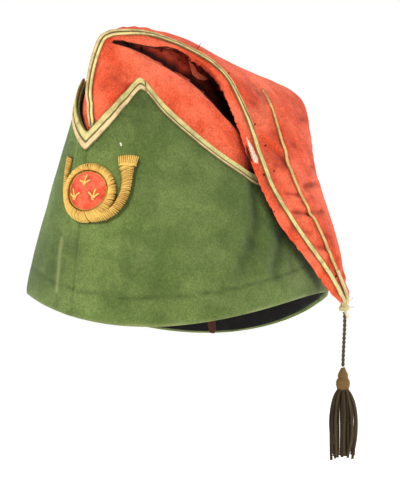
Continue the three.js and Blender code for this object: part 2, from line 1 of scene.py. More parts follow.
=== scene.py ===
import bpy
import bmesh
import math
import numpy as np
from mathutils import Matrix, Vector, noise
from mathutils.bvhtree import BVHTree
from mathutils.kdtree import KDTree


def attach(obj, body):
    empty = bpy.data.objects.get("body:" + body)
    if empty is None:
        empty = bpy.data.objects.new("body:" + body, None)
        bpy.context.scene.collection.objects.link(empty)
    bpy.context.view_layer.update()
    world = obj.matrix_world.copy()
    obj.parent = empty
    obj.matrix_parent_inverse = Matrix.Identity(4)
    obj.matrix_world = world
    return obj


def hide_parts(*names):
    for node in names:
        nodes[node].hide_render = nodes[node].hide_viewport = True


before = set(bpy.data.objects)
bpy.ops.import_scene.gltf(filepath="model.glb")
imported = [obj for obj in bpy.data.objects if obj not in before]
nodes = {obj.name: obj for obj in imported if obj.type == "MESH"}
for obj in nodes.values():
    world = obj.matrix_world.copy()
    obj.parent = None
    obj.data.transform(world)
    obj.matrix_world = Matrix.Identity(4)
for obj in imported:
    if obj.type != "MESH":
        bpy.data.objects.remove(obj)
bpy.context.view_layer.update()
scene = bpy.context.scene
mm = 0.001

# The camera stands level with the hat, turned from its front towards the wearer's left
cameraView = {"turn": 36.0, "distance": 4.0, "frameHeight": 0.2886, "target": (0.0107, 0.0078, 0.0437)}


def makeCamera():
    view = cameraView
    data = bpy.data.cameras.new("camera")
    data.lens = 36 * view["distance"] / view["frameHeight"]
    data.clip_end = 50
    camera = bpy.data.objects.new("camera", data)
    turn = math.radians(view["turn"])
    away = Vector((math.sin(turn), -math.cos(turn), 0))
    camera.location = Vector(view["target"]) + away * view["distance"]
    camera.rotation_euler = (-away).to_track_quat("-Z", "Y").to_euler()
    scene.collection.objects.link(camera)
    scene.camera = camera
    return away


towardsCamera = makeCamera()
acrossView = Vector((0, 0, 1)).cross(towardsCamera)


# The pixels where the picture shows points, given as rows, and how far each stands towards the camera
def seenFrom(places):
    away = places - np.array(cameraView["target"])
    near = away @ np.array(towardsCamera)
    scale = 479 / cameraView["frameHeight"] * cameraView["distance"] / (cameraView["distance"] - near)
    return 200 + away @ np.array(acrossView) * scale, 239.5 - away[:, 2] * scale, near


# The line of sight through a pixel
def pictureRay(px, py):
    scale = cameraView["frameHeight"] / 479
    start = Vector(cameraView["target"]) + towardsCamera * cameraView["distance"]
    aim = Vector(cameraView["target"]) + acrossView * (px - 200) * scale
    aim.z += (239.5 - py) * scale
    return start, (aim - start).normalized()


# Where a pixel's line of sight meets a surface, looking a little to the left if it passes by
def pictureHit(tree, px, py):
    for step in range(12):
        hit, normal = tree.ray_cast(*pictureRay(px - step, py))[:2]
        if hit:
            return hit, normal


# Meshes

def linkPiece(name, mesh, materials):
    piece = bpy.data.objects.new(name, mesh)
    scene.collection.objects.link(piece)
    for material in materials:
        piece.data.materials.append(material)
    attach(piece, "root")
    return piece


def smoothShade(mesh):
    for polygon in mesh.polygons:
        polygon.use_smooth = True


# Joins pairs of triangles to four-sided faces where they meet at less than an angle in degrees
def joinPairs(bm, flat):
    bmesh.ops.join_triangles(
        bm, faces=bm.faces, angle_face_threshold=math.radians(flat), angle_shape_threshold=math.radians(60),
    )


# A merged copy of a CAD node as a bmesh, with its flat pairs of triangles joined
def copyOf(nodeName, weld=1e-6):
    bm = bmesh.new()
    bm.from_mesh(nodes[nodeName].data)
    bmesh.ops.remove_doubles(bm, verts=bm.verts, dist=weld)
    joinPairs(bm, 55)
    for layer in list(bm.loops.layers.uv):
        bm.loops.layers.uv.remove(layer)
    return bm


def meshFrom(bm, name):
    mesh = bpy.data.meshes.new(name)
    bm.to_mesh(mesh)
    bm.free()
    smoothShade(mesh)
    return mesh


# The mesh after its subdivision surface, as a plain mesh
def subdivided(mesh, levels):
    holder = bpy.data.objects.new("holder", mesh)
    scene.collection.objects.link(holder)
    modifier = holder.modifiers.new("smooth", "SUBSURF")
    modifier.levels = modifier.render_levels = levels
    result = bpy.data.meshes.new_from_object(holder.evaluated_get(bpy.context.evaluated_depsgraph_get()))
    result.name = mesh.name
    bpy.data.objects.remove(holder)
    bpy.data.meshes.remove(mesh)
    return result


def coordinates(mesh):
    places = np.empty(len(mesh.vertices) * 3)
    mesh.vertices.foreach_get("co", places)
    return places.reshape(-1, 3)


def moveTo(mesh, places):
    mesh.vertices.foreach_set("co", np.asarray(places, float).ravel())
    mesh.update()


def storeValue(mesh, name, values):
    attribute = mesh.attributes.new(name, "FLOAT", "POINT")
    attribute.data.foreach_set("value", np.asarray(values, float))


def treeOf(*meshes):
    points, faces = [], []
    for mesh in meshes:
        faces += [tuple(i + len(points) for i in p.vertices) for p in mesh.polygons]
        points += [v.co.copy() for v in mesh.vertices]
    return BVHTree.FromPolygons(points, faces)


# How much of the view out from each vertex is closed off by cloth near it, 0 to 1
def closedIn(mesh, tree, reach, rays=40):
    golden = math.pi * (3 - math.sqrt(5))
    ways = []
    for k in range(rays):
        z = 1 - (2 * k + 1) / rays
        level = Vector((math.cos(golden * k), math.sin(golden * k), 0))
        ways.append(level * math.sqrt(1 - z * z) + Vector((0, 0, z)))
    shares = np.zeros(len(mesh.vertices))
    for row, vertex in enumerate(mesh.vertices):
        start = vertex.co + vertex.normal * 0.5 * mm
        clear, total = 0.0, 0.0
        for way in ways:
            slope = way.dot(vertex.normal)
            if slope < 0.1:
                continue
            total += slope
            if not tree.ray_cast(start, way, reach)[0]:
                clear += slope
        shares[row] = 1 - clear / total if total else 0
    return shares


# Node graphs

def newMaterial(name, **values):
    material = bpy.data.materials.new(name)
    material.use_nodes = True
    shader = material.node_tree.nodes["Principled BSDF"]
    for key, value in values.items():
        shader.inputs[key].default_value = value
    return material, material.node_tree, shader


# A node with its settings, whose inputs are values or other nodes' outputs
def place(tree, kind, settings=None, **inputs):
    node = tree.nodes.new(kind)
    for key, value in (settings or {}).items():
        setattr(node, key, value)
    for key, value in inputs.items():
        numbered = key[0] == "i" and key[1:].isdigit()
        socket = node.inputs[int(key[1:]) if numbered else key.replace("_", " ")]
        if isinstance(value, bpy.types.NodeSocket):
            tree.links.new(value, socket)
        else:
            socket.default_value = value
    return node


def maths(tree, operation, a, b=0.0, c=0.0):
    return place(tree, "ShaderNodeMath", {"operation": operation}, i0=a, i1=b, i2=c).outputs[0]


def mixColour(tree, factor, a, b, blend="MIX"):
    node = tree.nodes.new("ShaderNodeMix")
    node.data_type, node.blend_type = "RGBA", blend
    for index, value in ((0, factor), (6, a), (7, b)):
        if isinstance(value, bpy.types.NodeSocket):
            tree.links.new(value, node.inputs[index])
        else:
            node.inputs[index].default_value = value
    return node.outputs[2]


def ramp(tree, value, low, high, start=0.0, end=1.0):
    return place(
        tree, "ShaderNodeMapRange", {"interpolation_type": "SMOOTHSTEP"},
        i0=value, i1=low, i2=high, i3=start, i4=end,
    ).outputs[0]


def noiseAt(tree, vector, scale, detail=3.0, rough=0.55):
    cloud = place(tree, "ShaderNodeTexNoise", Vector=vector, Scale=scale, Detail=detail, Roughness=rough)
    return cloud.outputs["Fac"]


# A linear colour from a colour as the picture shows it, 0 to 255
def tint(red, green, blue):
    def linear(level):
        level /= 255
        return level / 12.92 if level <= 0.04045 else ((level + 0.055) / 1.055) ** 2.4
    return (linear(red), linear(green), linear(blue), 1)


def newGroup(name, inputs, outputs):
    group = bpy.data.node_groups.new(name, "ShaderNodeTree")
    for label, kind, value in inputs:
        socket = group.interface.new_socket(label, in_out="INPUT", socket_type=kind)
        socket.default_value = value
    for label, kind in outputs:
        group.interface.new_socket(label, in_out="OUTPUT", socket_type=kind)
    return group, group.nodes.new("NodeGroupInput"), group.nodes.new("NodeGroupOutput")


# Milled wool cloth: blotches of tone, a felted weave, lint and rubbed patches
def woolGroup():
    group, given, out = newGroup(
        "wool cloth",
        [
            ("Colour", "NodeSocketColor", (0.5, 0.5, 0.5, 1)),
            ("Dark", "NodeSocketColor", (0.2, 0.2, 0.2, 1)),
            ("Worn", "NodeSocketColor", (0.7, 0.7, 0.7, 1)),
            ("Wear", "NodeSocketFloat", 0.3),
            ("Blotch", "NodeSocketFloat", 60.0),
        ],
        [("Colour", "NodeSocketColor"), ("Height", "NodeSocketFloat"), ("Roughness", "NodeSocketFloat")],
    )
    where = group.nodes.new("ShaderNodeTexCoord").outputs["Object"]
    blotch = noiseAt(group, where, given.outputs["Blotch"], 4.0, 0.6)
    grain = noiseAt(group, where, 820.0, 5.0, 0.72)
    fibre = noiseAt(group, where, 2600.0, 2.0, 0.6)
    patch = noiseAt(group, where, 22.0, 5.0, 0.62)
    tone = mixColour(group, ramp(group, blotch, 0.36, 0.66), given.outputs["Dark"], given.outputs["Colour"])
    worn = maths(group, "MULTIPLY", ramp(group, patch, 0.52, 0.74), given.outputs["Wear"])
    tone = mixColour(group, worn, tone, given.outputs["Worn"])
    speck = ramp(group, grain, 0.33, 0.68, 0.73, 1.2)
    shade = place(group, "ShaderNodeCombineColor", i0=speck, i1=speck, i2=speck).outputs[0]
    tone = mixColour(group, 1.0, tone, shade, "MULTIPLY")
    height = maths(group, "ADD", maths(group, "MULTIPLY", grain, 0.7), maths(group, "MULTIPLY", fibre, 0.3))
    group.links.new(tone, out.inputs[0])
    group.links.new(height, out.inputs[1])
    group.links.new(ramp(group, grain, 0.3, 0.7, 0.98, 0.86), out.inputs[2])
    return group


# Twisted or plaited thread: slanting ribs along a piece, with a soft gleam on each rib and painted shade in the gaps
# between ribs
def threadGroup():
    group, given, out = newGroup(
        "laid thread",
        [
            ("Along", "NodeSocketFloat", 0.0),
            ("Across", "NodeSocketFloat", 0.0),
            ("Pitch", "NodeSocketFloat", 1.0),
            ("Slant", "NodeSocketFloat", 0.5),
            ("Gap", "NodeSocketFloat", 0.5),
            ("Colour", "NodeSocketColor", (0.5, 0.5, 0.5, 1)),
            ("Dark", "NodeSocketColor", (0.2, 0.2, 0.2, 1)),
        ],
        [("Colour", "NodeSocketColor"), ("Height", "NodeSocketFloat"), ("Roughness", "NodeSocketFloat")],
    )
    where = group.nodes.new("ShaderNodeTexCoord").outputs["Object"]
    slant = maths(group, "MULTIPLY", given.outputs["Across"], given.outputs["Slant"])
    phase = maths(group, "ADD", given.outputs["Along"], slant)
    phase = maths(group, "DIVIDE", phase, given.outputs["Pitch"])
    wobble = maths(group, "MULTIPLY", noiseAt(group, where, 300.0, 2.0), 0.35)
    wave = maths(group, "SINE", maths(group, "MULTIPLY", maths(group, "ADD", phase, wobble), 6.2832))
    rib = ramp(group, wave, -1.0, 1.0)
    grime = noiseAt(group, where, 70.0, 4.0, 0.65)
    # Painted shade: the gaps between the ribs are darkened towards the dark colour
    gap = maths(group, "MULTIPLY", ramp(group, rib, 0.0, 0.75, 1.0, 0.0), given.outputs["Gap"])
    tone = mixColour(group, gap, given.outputs["Colour"], given.outputs["Dark"])
    tone = mixColour(group, ramp(group, grime, 0.46, 0.72, 0.0, 0.4), tone, given.outputs["Dark"])
    fibre = maths(group, "MULTIPLY", noiseAt(group, where, 3000.0, 2.0), 0.25)
    group.links.new(tone, out.inputs[0])
    group.links.new(maths(group, "ADD", rib, fibre), out.inputs[1])
    group.links.new(ramp(group, rib, 0.0, 1.0, 0.9, 0.62), out.inputs[2])
    return group


wool = woolGroup()
thread = threadGroup()


def finishFrom(tree, shader, colour, height, roughness, depth, strength=1.0):
    bump = place(tree, "ShaderNodeBump", Height=height, Distance=depth, Strength=strength)
    tree.links.new(colour, shader.inputs["Base Color"])
    tree.links.new(roughness, shader.inputs["Roughness"])
    tree.links.new(bump.outputs[0], shader.inputs["Normal"])


def attributeOf(tree, name):
    return place(tree, "ShaderNodeAttribute", {"attribute_name": name}).outputs["Fac"]


def groupIn(tree, group, **inputs):
    node = tree.nodes.new("ShaderNodeGroup")
    node.node_tree = group
    for key, value in inputs.items():
        if isinstance(value, bpy.types.NodeSocket):
            tree.links.new(value, node.inputs[key])
        else:
            node.inputs[key].default_value = value
    return node.outputs


def turbanMaterial():
    material, tree, shader = newMaterial(
        "green wool", **{"Sheen Weight": 0.1, "Sheen Roughness": 0.5, "Specular IOR Level": 0.15},
    )
    made = groupIn(
        tree, wool, Colour=tint(106, 124, 64), Dark=tint(84, 103, 49), Worn=tint(126, 138, 82),
        Wear=0.4, Blotch=34.0,
    )
    # Darker olive: the seams, random tone, and painted shade in the hem crease, along the valleys and in broad
    # patches
    groove = attributeOf(tree, "groove")
    colour = mixColour(tree, maths(tree, "MULTIPLY", groove, 0.8), made["Colour"], tint(34, 42, 18))
    # Paler: rubbed wear at the foot of the cloth, and painted light on ridges and in broad patches
    rubbed_and_lit = attributeOf(tree, "rubbed_and_lit")
    colour = mixColour(tree, maths(tree, "MULTIPLY", rubbed_and_lit, 0.5), colour, tint(158, 160, 108))
    # Painted shade where nearby cloth closes in, and the painted shadow of the horn
    deep = ramp(tree, attributeOf(tree, "deep"), 0.35, 1.0, 0.0, 0.6)
    colour = mixColour(tree, deep, colour, tint(28, 32, 14))
    finishFrom(tree, shader, colour, made["Height"], made["Roughness"], 0.5 * mm, 0.8)
    return material


def bagMaterial(name, light, dark, worn, blotch):
    material, tree, shader = newMaterial(
        name, **{"Sheen Weight": 0.08, "Sheen Roughness": 0.45, "Specular IOR Level": 0.15},
    )
    made = groupIn(tree, wool, Colour=light, Dark=dark, Worn=worn, Wear=0.4, Blotch=blotch)
    # Darker red: soil, rubbed patches, darkening along the front braid, and painted shade in the tucks
    soil_and_shade = attributeOf(tree, "soil_and_shade")
    colour = mixColour(tree, maths(tree, "MULTIPLY", soil_and_shade, 0.8), made["Colour"], tint(138, 40, 24))
    # Painted shade: dark red where nearby cloth closes in, near black inside the pocket
    deep = attributeOf(tree, "deep")
    colour = mixColour(tree, ramp(tree, deep, 0.25, 0.8, 0.0, 0.85), colour, tint(120, 22, 10))
    colour = mixColour(tree, ramp(tree, deep, 0.62, 0.97, 0.0, 0.95), colour, tint(22, 8, 6))
    finishFrom(tree, shader, colour, made["Height"], made["Roughness"], 0.6 * mm, 0.9)
    return material


# Two cords laid side by side with a painted shade line in the groove between them, finely spun, soiled in places,
# with painted shade along their edges and at the mitred corner
def braidMaterial(name, first, second, groove, grooveAt, shift, lineWide, mitre=0.0):
    material, tree, shader = newMaterial(name, **{"Sheen Weight": 0.08, "Specular IOR Level": 0.25})
    across = attributeOf(tree, "across")
    arm = attributeOf(tree, "arm")
    middle = maths(tree, "ADD", grooveAt, maths(tree, "MULTIPLY", arm, shift))
    fromMiddle = maths(tree, "SUBTRACT", across, middle)
    side = ramp(tree, fromMiddle, -0.05, 0.05)
    where = tree.nodes.new("ShaderNodeTexCoord").outputs["Object"]
    tone = mixColour(tree, side, first, second)
    tone = mixColour(tree, ramp(tree, noiseAt(tree, where, 220.0, 4.0), 0.4, 0.7, 0.0, 0.4), tone, groove)
    made = groupIn(
        tree, thread, Along=attributeOf(tree, "along"), Across=maths(tree, "ABSOLUTE", fromMiddle),
        Pitch=0.9, Slant=3.0, Gap=0.22, Colour=tone, Dark=groove,
    )
    # Painted shade: a dark line along the groove, dark edges for the shadow beside the braid, and a dark mitred
    # corner
    line = ramp(tree, maths(tree, "ABSOLUTE", fromMiddle), 0.02, lineWide, 1.0, 0.0)
    edge = ramp(tree, maths(tree, "ABSOLUTE", maths(tree, "SUBTRACT", across, 0.5)), 0.39, 0.48, 0.0, 0.85)
    mitreShade = ramp(tree, maths(tree, "ABSOLUTE", maths(tree, "SUBTRACT", arm, 0.5)), 0.1, 0.4, mitre, 0.0)
    dark = maths(tree, "MAXIMUM", maths(tree, "MAXIMUM", line, edge), mitreShade)
    colour = mixColour(tree, dark, made["Colour"], groove)
    finishFrom(tree, shader, colour, made["Height"], made["Roughness"], 0.15 * mm, 0.6)
    return material


# Laid or wound thread. Each length of it has its own tone.
def threadMaterial(name, light, dark, pitch, metal, slant=0.6):
    material, tree, shader = newMaterial(name, **{"Metallic": metal, "Specular IOR Level": 0.4})
    made = groupIn(
        tree, thread, Along=attributeOf(tree, "along"), Across=attributeOf(tree, "across"),
        Pitch=pitch, Slant=slant, Gap=0.45, Colour=light, Dark=dark,
    )
    colour = mixColour(tree, maths(tree, "MULTIPLY", attributeOf(tree, "tone"), 0.55), made["Colour"], dark)
    finishFrom(tree, shader, colour, made["Height"], made["Roughness"], 0.2 * mm, 0.7)
    return material


def leatherMaterial(name, light, dark, gloss):
    material, tree, shader = newMaterial(name, **{"Specular IOR Level": 0.22})
    where = tree.nodes.new("ShaderNodeTexCoord").outputs["Object"]
    cells = place(tree, "ShaderNodeTexVoronoi", {"feature": "DISTANCE_TO_EDGE"}, Vector=where, Scale=900.0)
    scuff = noiseAt(tree, where, 60.0, 5.0, 0.65)
    colour = mixColour(tree, ramp(tree, scuff, 0.42, 0.7), dark, light)
    grain = ramp(tree, cells.outputs[0], 0.0, 0.25)
    finishFrom(tree, shader, colour, grain, ramp(tree, scuff, 0.3, 0.7, gloss, 0.8), 0.2 * mm, 0.6)
    return material


def plainCloth(name, light, dark, scale=700.0):
    material, tree, shader = newMaterial(name, **{"Specular IOR Level": 0.2})
    where = tree.nodes.new("ShaderNodeTexCoord").outputs["Object"]
    weave = noiseAt(tree, where, scale, 3.0, 0.6)
    colour = mixColour(tree, ramp(tree, weave, 0.35, 0.65), dark, light)
    finishFrom(tree, shader, colour, weave, ramp(tree, weave, 0.3, 0.7, 0.95, 0.85), 0.3 * mm)
    return material


print("materials are ready")

# Cord: two thin cords twisted together, from the tip's knot down to the tassel
cordDress = {
    "route": [
        (88.6, 48.2, 0.2), (88.7, 48.3, -4), (88.6, 48.3, -9), (88.4, 48.1, -15),
        (88.2, 47.9, -21), (88, 47.7, -27), (87.9, 47.6, -32.6),
    ],
    "thick": 2.2 * mm, "twist": 5.2 * mm, "sides": 16,
}


# Points a step apart on a smooth curve through the given ones
def splinePath(points, step):
    data = bpy.data.curves.new("path", "CURVE")
    data.dimensions = "3D"
    spline = data.splines.new("BEZIER")
    spline.bezier_points.add(len(points) - 1)
    for knot, point in zip(spline.bezier_points, points):
        knot.co = point
        knot.handle_left_type = knot.handle_right_type = "AUTO"
    data.resolution_u = 24
    holder = bpy.data.objects.new("path", data)
    scene.collection.objects.link(holder)
    line = [v.co.copy() for v in holder.to_mesh().vertices]
    holder.to_mesh_clear()
    bpy.data.objects.remove(holder)
    bpy.data.curves.remove(data)
    lengths = np.concatenate([[0], np.cumsum([(b - a).length for a, b in zip(line, line[1:])])])
    wanted = np.linspace(0, lengths[-1], max(2, round(lengths[-1] / step) + 1))
    fine = np.array([np.interp(wanted, lengths, [p[axis] for p in line]) for axis in range(3)]).T
    return [Vector(p) for p in fine]


# Sweeps a ring along a path. The outline gives the radius at an angle and a length along it.
def sweep(bm, path, sides, outline, start=0.0, tone=0.0):
    floats = bm.verts.layers.float
    layers = [floats.get(name) or floats.new(name) for name in ("along", "across", "tone")]
    ahead = (path[1] - path[0]).normalized()
    side = ahead.orthogonal().normalized()
    ring, length = None, start
    for i, centre in enumerate(path):
        onward = (path[min(i + 1, len(path) - 1)] - path[max(i - 1, 0)]).normalized()
        side = (side - onward * side.dot(onward)).normalized()
        up = onward.cross(side)
        if i:
            length += (centre - path[i - 1]).length
        verts = []
        for k in range(sides):
            angle = 2 * math.pi * k / sides
            out = side * math.cos(angle) + up * math.sin(angle)
            vertex = bm.verts.new(centre + out * outline(angle, length))
            for layer, value in zip(layers, (length * 1000, k / sides, tone)):
                vertex[layer] = value
            verts.append(vertex)
        if ring is None:
            bm.faces.new(list(reversed(verts)))
        else:
            for k in range(sides):
                bm.faces.new((ring[k], ring[(k + 1) % sides], verts[(k + 1) % sides], verts[k]))
        ring = verts
    bm.faces.new(ring)


# The outline of two round cords laid together, turning with the length
def twoPly(radius, twist):
    def outline(angle, length):
        turned = angle - 2 * math.pi * length / twist
        return radius * (0.56 + 0.44 * abs(math.cos(turned)) ** 1.3)
    return outline


def makeCord():
    route = [Vector(p) * mm for p in cordDress["route"]]
    path = splinePath(route, 0.45 * mm)
    bm = bmesh.new()
    sweep(bm, path, cordDress["sides"], twoPly(cordDress["thick"] / 2, cordDress["twist"]))
    cord = linkPiece("tassel_cord_twisted", meshFrom(bm, "tassel cord"), [fringeThread])
    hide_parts("tassel_cord")
    return cord, path


fringeThread = threadMaterial("dark bullion", tint(92, 74, 46), tint(32, 24, 13), 0.62, 0.1)
tasselCord, tasselCordPath = makeCord()
print("the cord is in place")


# Turban: wool over its own seam, with a turned hem
turbanDress = {
    "levels": 3, "soft": 0.45 * mm, "fine": 0.12 * mm, "hemHeight": 17 * mm, "seamDepth": 0.55 * mm,
}

# Soft valleys in the green cloth, by their ends in the picture, with width and depth in millimetres and the shade
# painted along them; a negative shade paints a paler ridge
turbanValleys = [
    {"from": (252.5, 184), "to": (257.5, 212), "wide": 4.2, "deep": 1.1, "shade": 0.75},
    {"from": (257.5, 212), "to": (253, 243), "wide": 5.4, "deep": 1.3, "shade": 0.7},
    {"from": (253, 243), "to": (240, 274), "wide": 5.6, "deep": 1.0, "shade": 0.45},
    {"from": (284, 231), "to": (275.5, 270), "wide": 4.6, "deep": 1.0, "shade": 0.65},
    {"from": (268, 222), "to": (283, 243), "wide": 4.0, "deep": 0.6, "shade": 0.5},
    {"from": (289, 255), "to": (293, 268), "wide": 3.8, "deep": 0.9, "shade": 0.5},
    {"from": (182, 222), "to": (214, 214), "wide": 3.6, "deep": 0.6, "shade": 0.2},
    {"from": (56, 228), "to": (70, 252), "wide": 3.4, "deep": 0.6, "shade": 0.2},
    {"from": (80, 132), "to": (75, 160), "wide": 0.7, "deep": -0.25, "shade": -0.4},
]

# Painted shade and painted light on the green cloth: darker and paler places, by their middle in the picture, with
# their size in pixels
turbanShading = [
    {"at": (148, 98), "size": 18, "tone": 0.4},
    {"at": (130, 118), "size": 24, "tone": 0.42},
    {"at": (104, 140), "size": 16, "tone": 0.16},
    {"at": (50, 262), "size": 30, "tone": 0.36},
    {"at": (76, 200), "size": 18, "tone": 0.12},
    {"at": (150, 292), "size": 26, "tone": 0.2},
    {"at": (225, 165), "size": 20, "tone": 0.12},
    {"at": (232, 285), "size": 40, "tone": 0.2},
    {"at": (108, 283), "size": 20, "tone": 0.16},
    {"at": (168, 196), "size": 34, "tone": -0.2},
    {"at": (196, 256), "size": 24, "tone": -0.16},
]


noise.seed_set(4)  # without a seed, noise_vector gives other values each run


def softNoise(places, size, seed=0.0):
    shift = Vector((seed, seed * 1.7, -seed))
    return np.array([noise.noise(Vector(p) / size + shift) for p in places])


def vectorNoise(places, size, seed=0.0):
    shift = Vector((seed, seed * 1.3, -seed))
    return np.array([noise.noise_vector(Vector(p) / size + shift) for p in places])


# Pushes the cloth in along lines of the picture, and swells it beside them. Both faces of the wall move. Also returns
# the shade painted along each line.
def pressLines(places, tree, lines):
    moves = np.zeros_like(places)
    shade = np.zeros(len(places))
    for line in lines:
        a, normalA = pictureHit(tree, *line["from"])
        b, normalB = pictureHit(tree, *line["to"])
        normal = np.array((normalA + normalB).normalized())
        start, way = np.array(a), np.array(b - a)
        rel = places - start
        share = np.clip(rel @ way / (way @ way), 0, 1)
        away = rel - share[:, None] * way
        through = away @ normal
        beside = np.linalg.norm(away - through[:, None] * normal, axis=1) / (line["wide"] * mm)
        press = np.exp(-beside ** 2) - 0.32 * np.exp(-((beside - 2.1) ** 2))
        press *= np.abs(through) < 6 * mm
        moves -= normal * (press * line["deep"] * mm)[:, None]
        taper = 0.35 + 0.65 * np.sin(math.pi * np.clip(share * 0.8 + 0.1, 0, 1))
        # Painted shade along the line, strongest in its middle
        shade += line["shade"] * taper * np.exp(-((beside * 1.15) ** 2)) * (np.abs(through) < 6 * mm)
    return moves, shade


# Parts the cloth's outer faces in a window of the picture
def refineWindow(mesh, low, high, cuts):
    bm = bmesh.new()
    bm.from_mesh(mesh)

    def shows(face):
        px, py, near = seenFrom(np.array([face.calc_center_median()]))
        inside = low[0] < px[0] < high[0] and low[1] < py[0] < high[1]
        return inside and face.normal.dot(towardsCamera) > 0 and near[0] > 0.02

    edges = [e for e in bm.edges if any(shows(f) for f in e.link_faces)]
    bmesh.ops.subdivide_edges(bm, edges=edges, cuts=cuts, use_grid_fill=True)
    bm.to_mesh(mesh)
    bm.free()
    smoothShade(mesh)


# Where something close by keeps the light from above the left shoulder off a surface, 0 to 1
def castShade(mesh, tree, low, high, reach):
    places = coordinates(mesh)
    px, py, near = seenFrom(places)
    shade = np.zeros(len(places))
    rows = np.nonzero((px > low[0]) & (px < high[0]) & (py > low[1]) & (py < high[1]) & (near > 0.02))[0]
    aims = [(-0.55, 0.95), (-0.35, 0.8), (-0.75, 0.8), (-0.5, 0.6)]
    ways = [(acrossView * a + Vector((0, 0, b)) + towardsCamera * 0.42).normalized() for a, b in aims]
    for row in rows:
        start = Vector(places[row]) + mesh.vertices[row].normal * 0.25 * mm
        shade[row] = sum(1 for way in ways if tree.ray_cast(start, way, reach)[0]) / len(ways)
    return shade


def makeTurban():
    dress = turbanDress
    mesh = subdivided(meshFrom(copyOf("turban"), "turban cloth"), dress["levels"])
    refineWindow(mesh, (56, 148), (146, 234), 2)
    places = coordinates(mesh)
    x, y, z = places.T
    outward = np.stack([x / 0.070 ** 2, y / 0.098 ** 2, x * 0], 1)
    outward /= np.linalg.norm(outward, axis=1)[:, None] + 1e-9
    turn = np.degrees(np.arctan2(x, -y))
    bins = ((turn + 180) / 4).astype(int) % 90
    lowest = np.array([z[bins == k].min() for k in range(90)])
    above = z - np.interp(turn, np.arange(90) * 4 - 178, lowest, period=360)
    front = np.exp(-((x / 0.0009) ** 2)) * (y < 0)
    back = np.exp(-((x / 0.0009) ** 2)) * (y > 0)
    hem = np.exp(-(((above - dress["hemHeight"] - 1.2 * mm * softNoise(places, 0.03, 3)) / 0.0009) ** 2))
    push = dress["soft"] * softNoise(places, 0.028) + dress["fine"] * softNoise(places, 0.007, 5)
    push -= dress["seamDepth"] * (0.5 * front + back)
    push += 0.22 * mm * (np.exp(-(((np.abs(x) - 0.0042) / 0.003) ** 2)))
    push -= 0.28 * mm * hem
    moves, shade = pressLines(places, treeOf(mesh), turbanValleys)
    moveTo(mesh, places + outward * push[:, None] + moves)
    moved = coordinates(mesh)
    mottle = 0.1 * softNoise(moved, 0.009, 31) + 0.12 * softNoise(moved, 0.0034, 32)
    tone = mottle + 0.04
    px, py, _ = seenFrom(moved)
    # Painted shade and painted light in broad patches
    for spot in turbanShading:
        away = np.hypot(px - spot["at"][0], py - spot["at"][1]) / spot["size"]
        tone += spot["tone"] * np.exp(-away ** 2) * (1 + 2 * mottle)
    # Darker: the seams, random tone, painted shade in the hem crease and along the valleys, and the painted patches
    storeValue(mesh, "groove", np.clip(0.3 * front + 0.9 * back + 0.45 * hem + shade + tone, 0, 1))
    # Paler: a painted highlight on a ridge beside the front seam, rubbed wear at the foot of the cloth, and painted
    # light on ridges and in patches
    ridgeHighlight = np.exp(-(((x + 0.0135) / 0.0014) ** 2)) * (y < 0) * (z < 0.045) * (z > 0.012)
    rubbed = np.exp(-((above / 0.0016) ** 2)) * (0.55 + softNoise(places, 0.012, 7))
    paintedLight = -np.minimum(shade, 0) - np.minimum(tone, 0)
    storeValue(mesh, "rubbed_and_lit", np.clip(ridgeHighlight * 0.8 + rubbed + paintedLight, 0, 1))
    # Painted shade where the cloth and the bag close in, kept light on the inner side of the peak, with the painted
    # shadow of the horn
    deep = closedIn(mesh, treeOf(mesh, nodes["flame"].data), 22 * mm, 24)
    deep *= 1 - 0.8 * np.exp(-(((px - 87) ** 2 + (py - 104) ** 2) / 22 ** 2))
    cast = castShade(mesh, treeOf(nodes["badge_horn"].data), (56, 148), (148, 236), 8 * mm)
    storeValue(mesh, "deep", np.maximum(deep, cast * 1.2))
    piece = linkPiece("turban_cloth", mesh, [turbanMaterial()])
    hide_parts("turban")
    return piece


turban = makeTurban()
turbanTree = treeOf(turban.data)
print("the turban is in place")


# Braids: each lies along a seam, with two cords side by side
# The rings of a tube's mesh, in order from its first cap or from a given ring
def tubeRings(bm, count, start=None, blocked=()):
    def isHub(vertex):
        normals = [f.normal for f in vertex.link_faces]
        mean = sum(normals, Vector()).normalized()
        return len(normals) == count and all(n.dot(mean) > 0.97 for n in normals)

    hubs = [] if start else [v for v in bm.verts if isHub(v)]
    if not start:
        first = max(hubs, key=lambda v: v.co.z)
        start, blocked = [e.other_vert(first) for e in first.link_edges], hubs
    bm.verts.index_update()
    seen = set(start) | set(blocked)
    rings = [list(start)]
    while True:
        ahead = {e.other_vert(v) for v in rings[-1] for e in v.link_edges} - seen
        if not ahead:
            return rings
        seen |= ahead
        rings.append(sorted(ahead, key=lambda v: v.index))


# Stores how far along and across the braid each vertex lies, and returns its stations
def markBraid(bm, rings):
    alongLayer, acrossLayer = bm.verts.layers.float["along"], bm.verts.layers.float["across"]
    centres = [sum((v.co for v in ring), Vector()) / len(ring) for ring in rings]
    stations, length = [], 0.0
    for i, ring in enumerate(rings):
        ahead = (centres[min(i + 1, len(rings) - 1)] - centres[max(i - 1, 0)]).normalized()
        length += (centres[i] - centres[i - 1]).length if i else 0
        members = set(ring)
        around = (e for v in ring for e in v.link_edges if e.other_vert(v) in members)
        foot = max(around, key=lambda e: e.calc_length())
        a, b = (v.co.copy() for v in foot.verts)
        up = (centres[i] - (a + b) / 2).normalized()
        if ahead.cross(up).dot(b - a) < 0:
            a, b = b, a
        for v in ring:
            v[alongLayer] = length * 1000
            v[acrossLayer] = (v.co - a).dot(b - a) / (b - a).length_squared
        stations.append({"foot": (a + b) / 2, "up": up, "length": length, "ahead": ahead})
    return stations


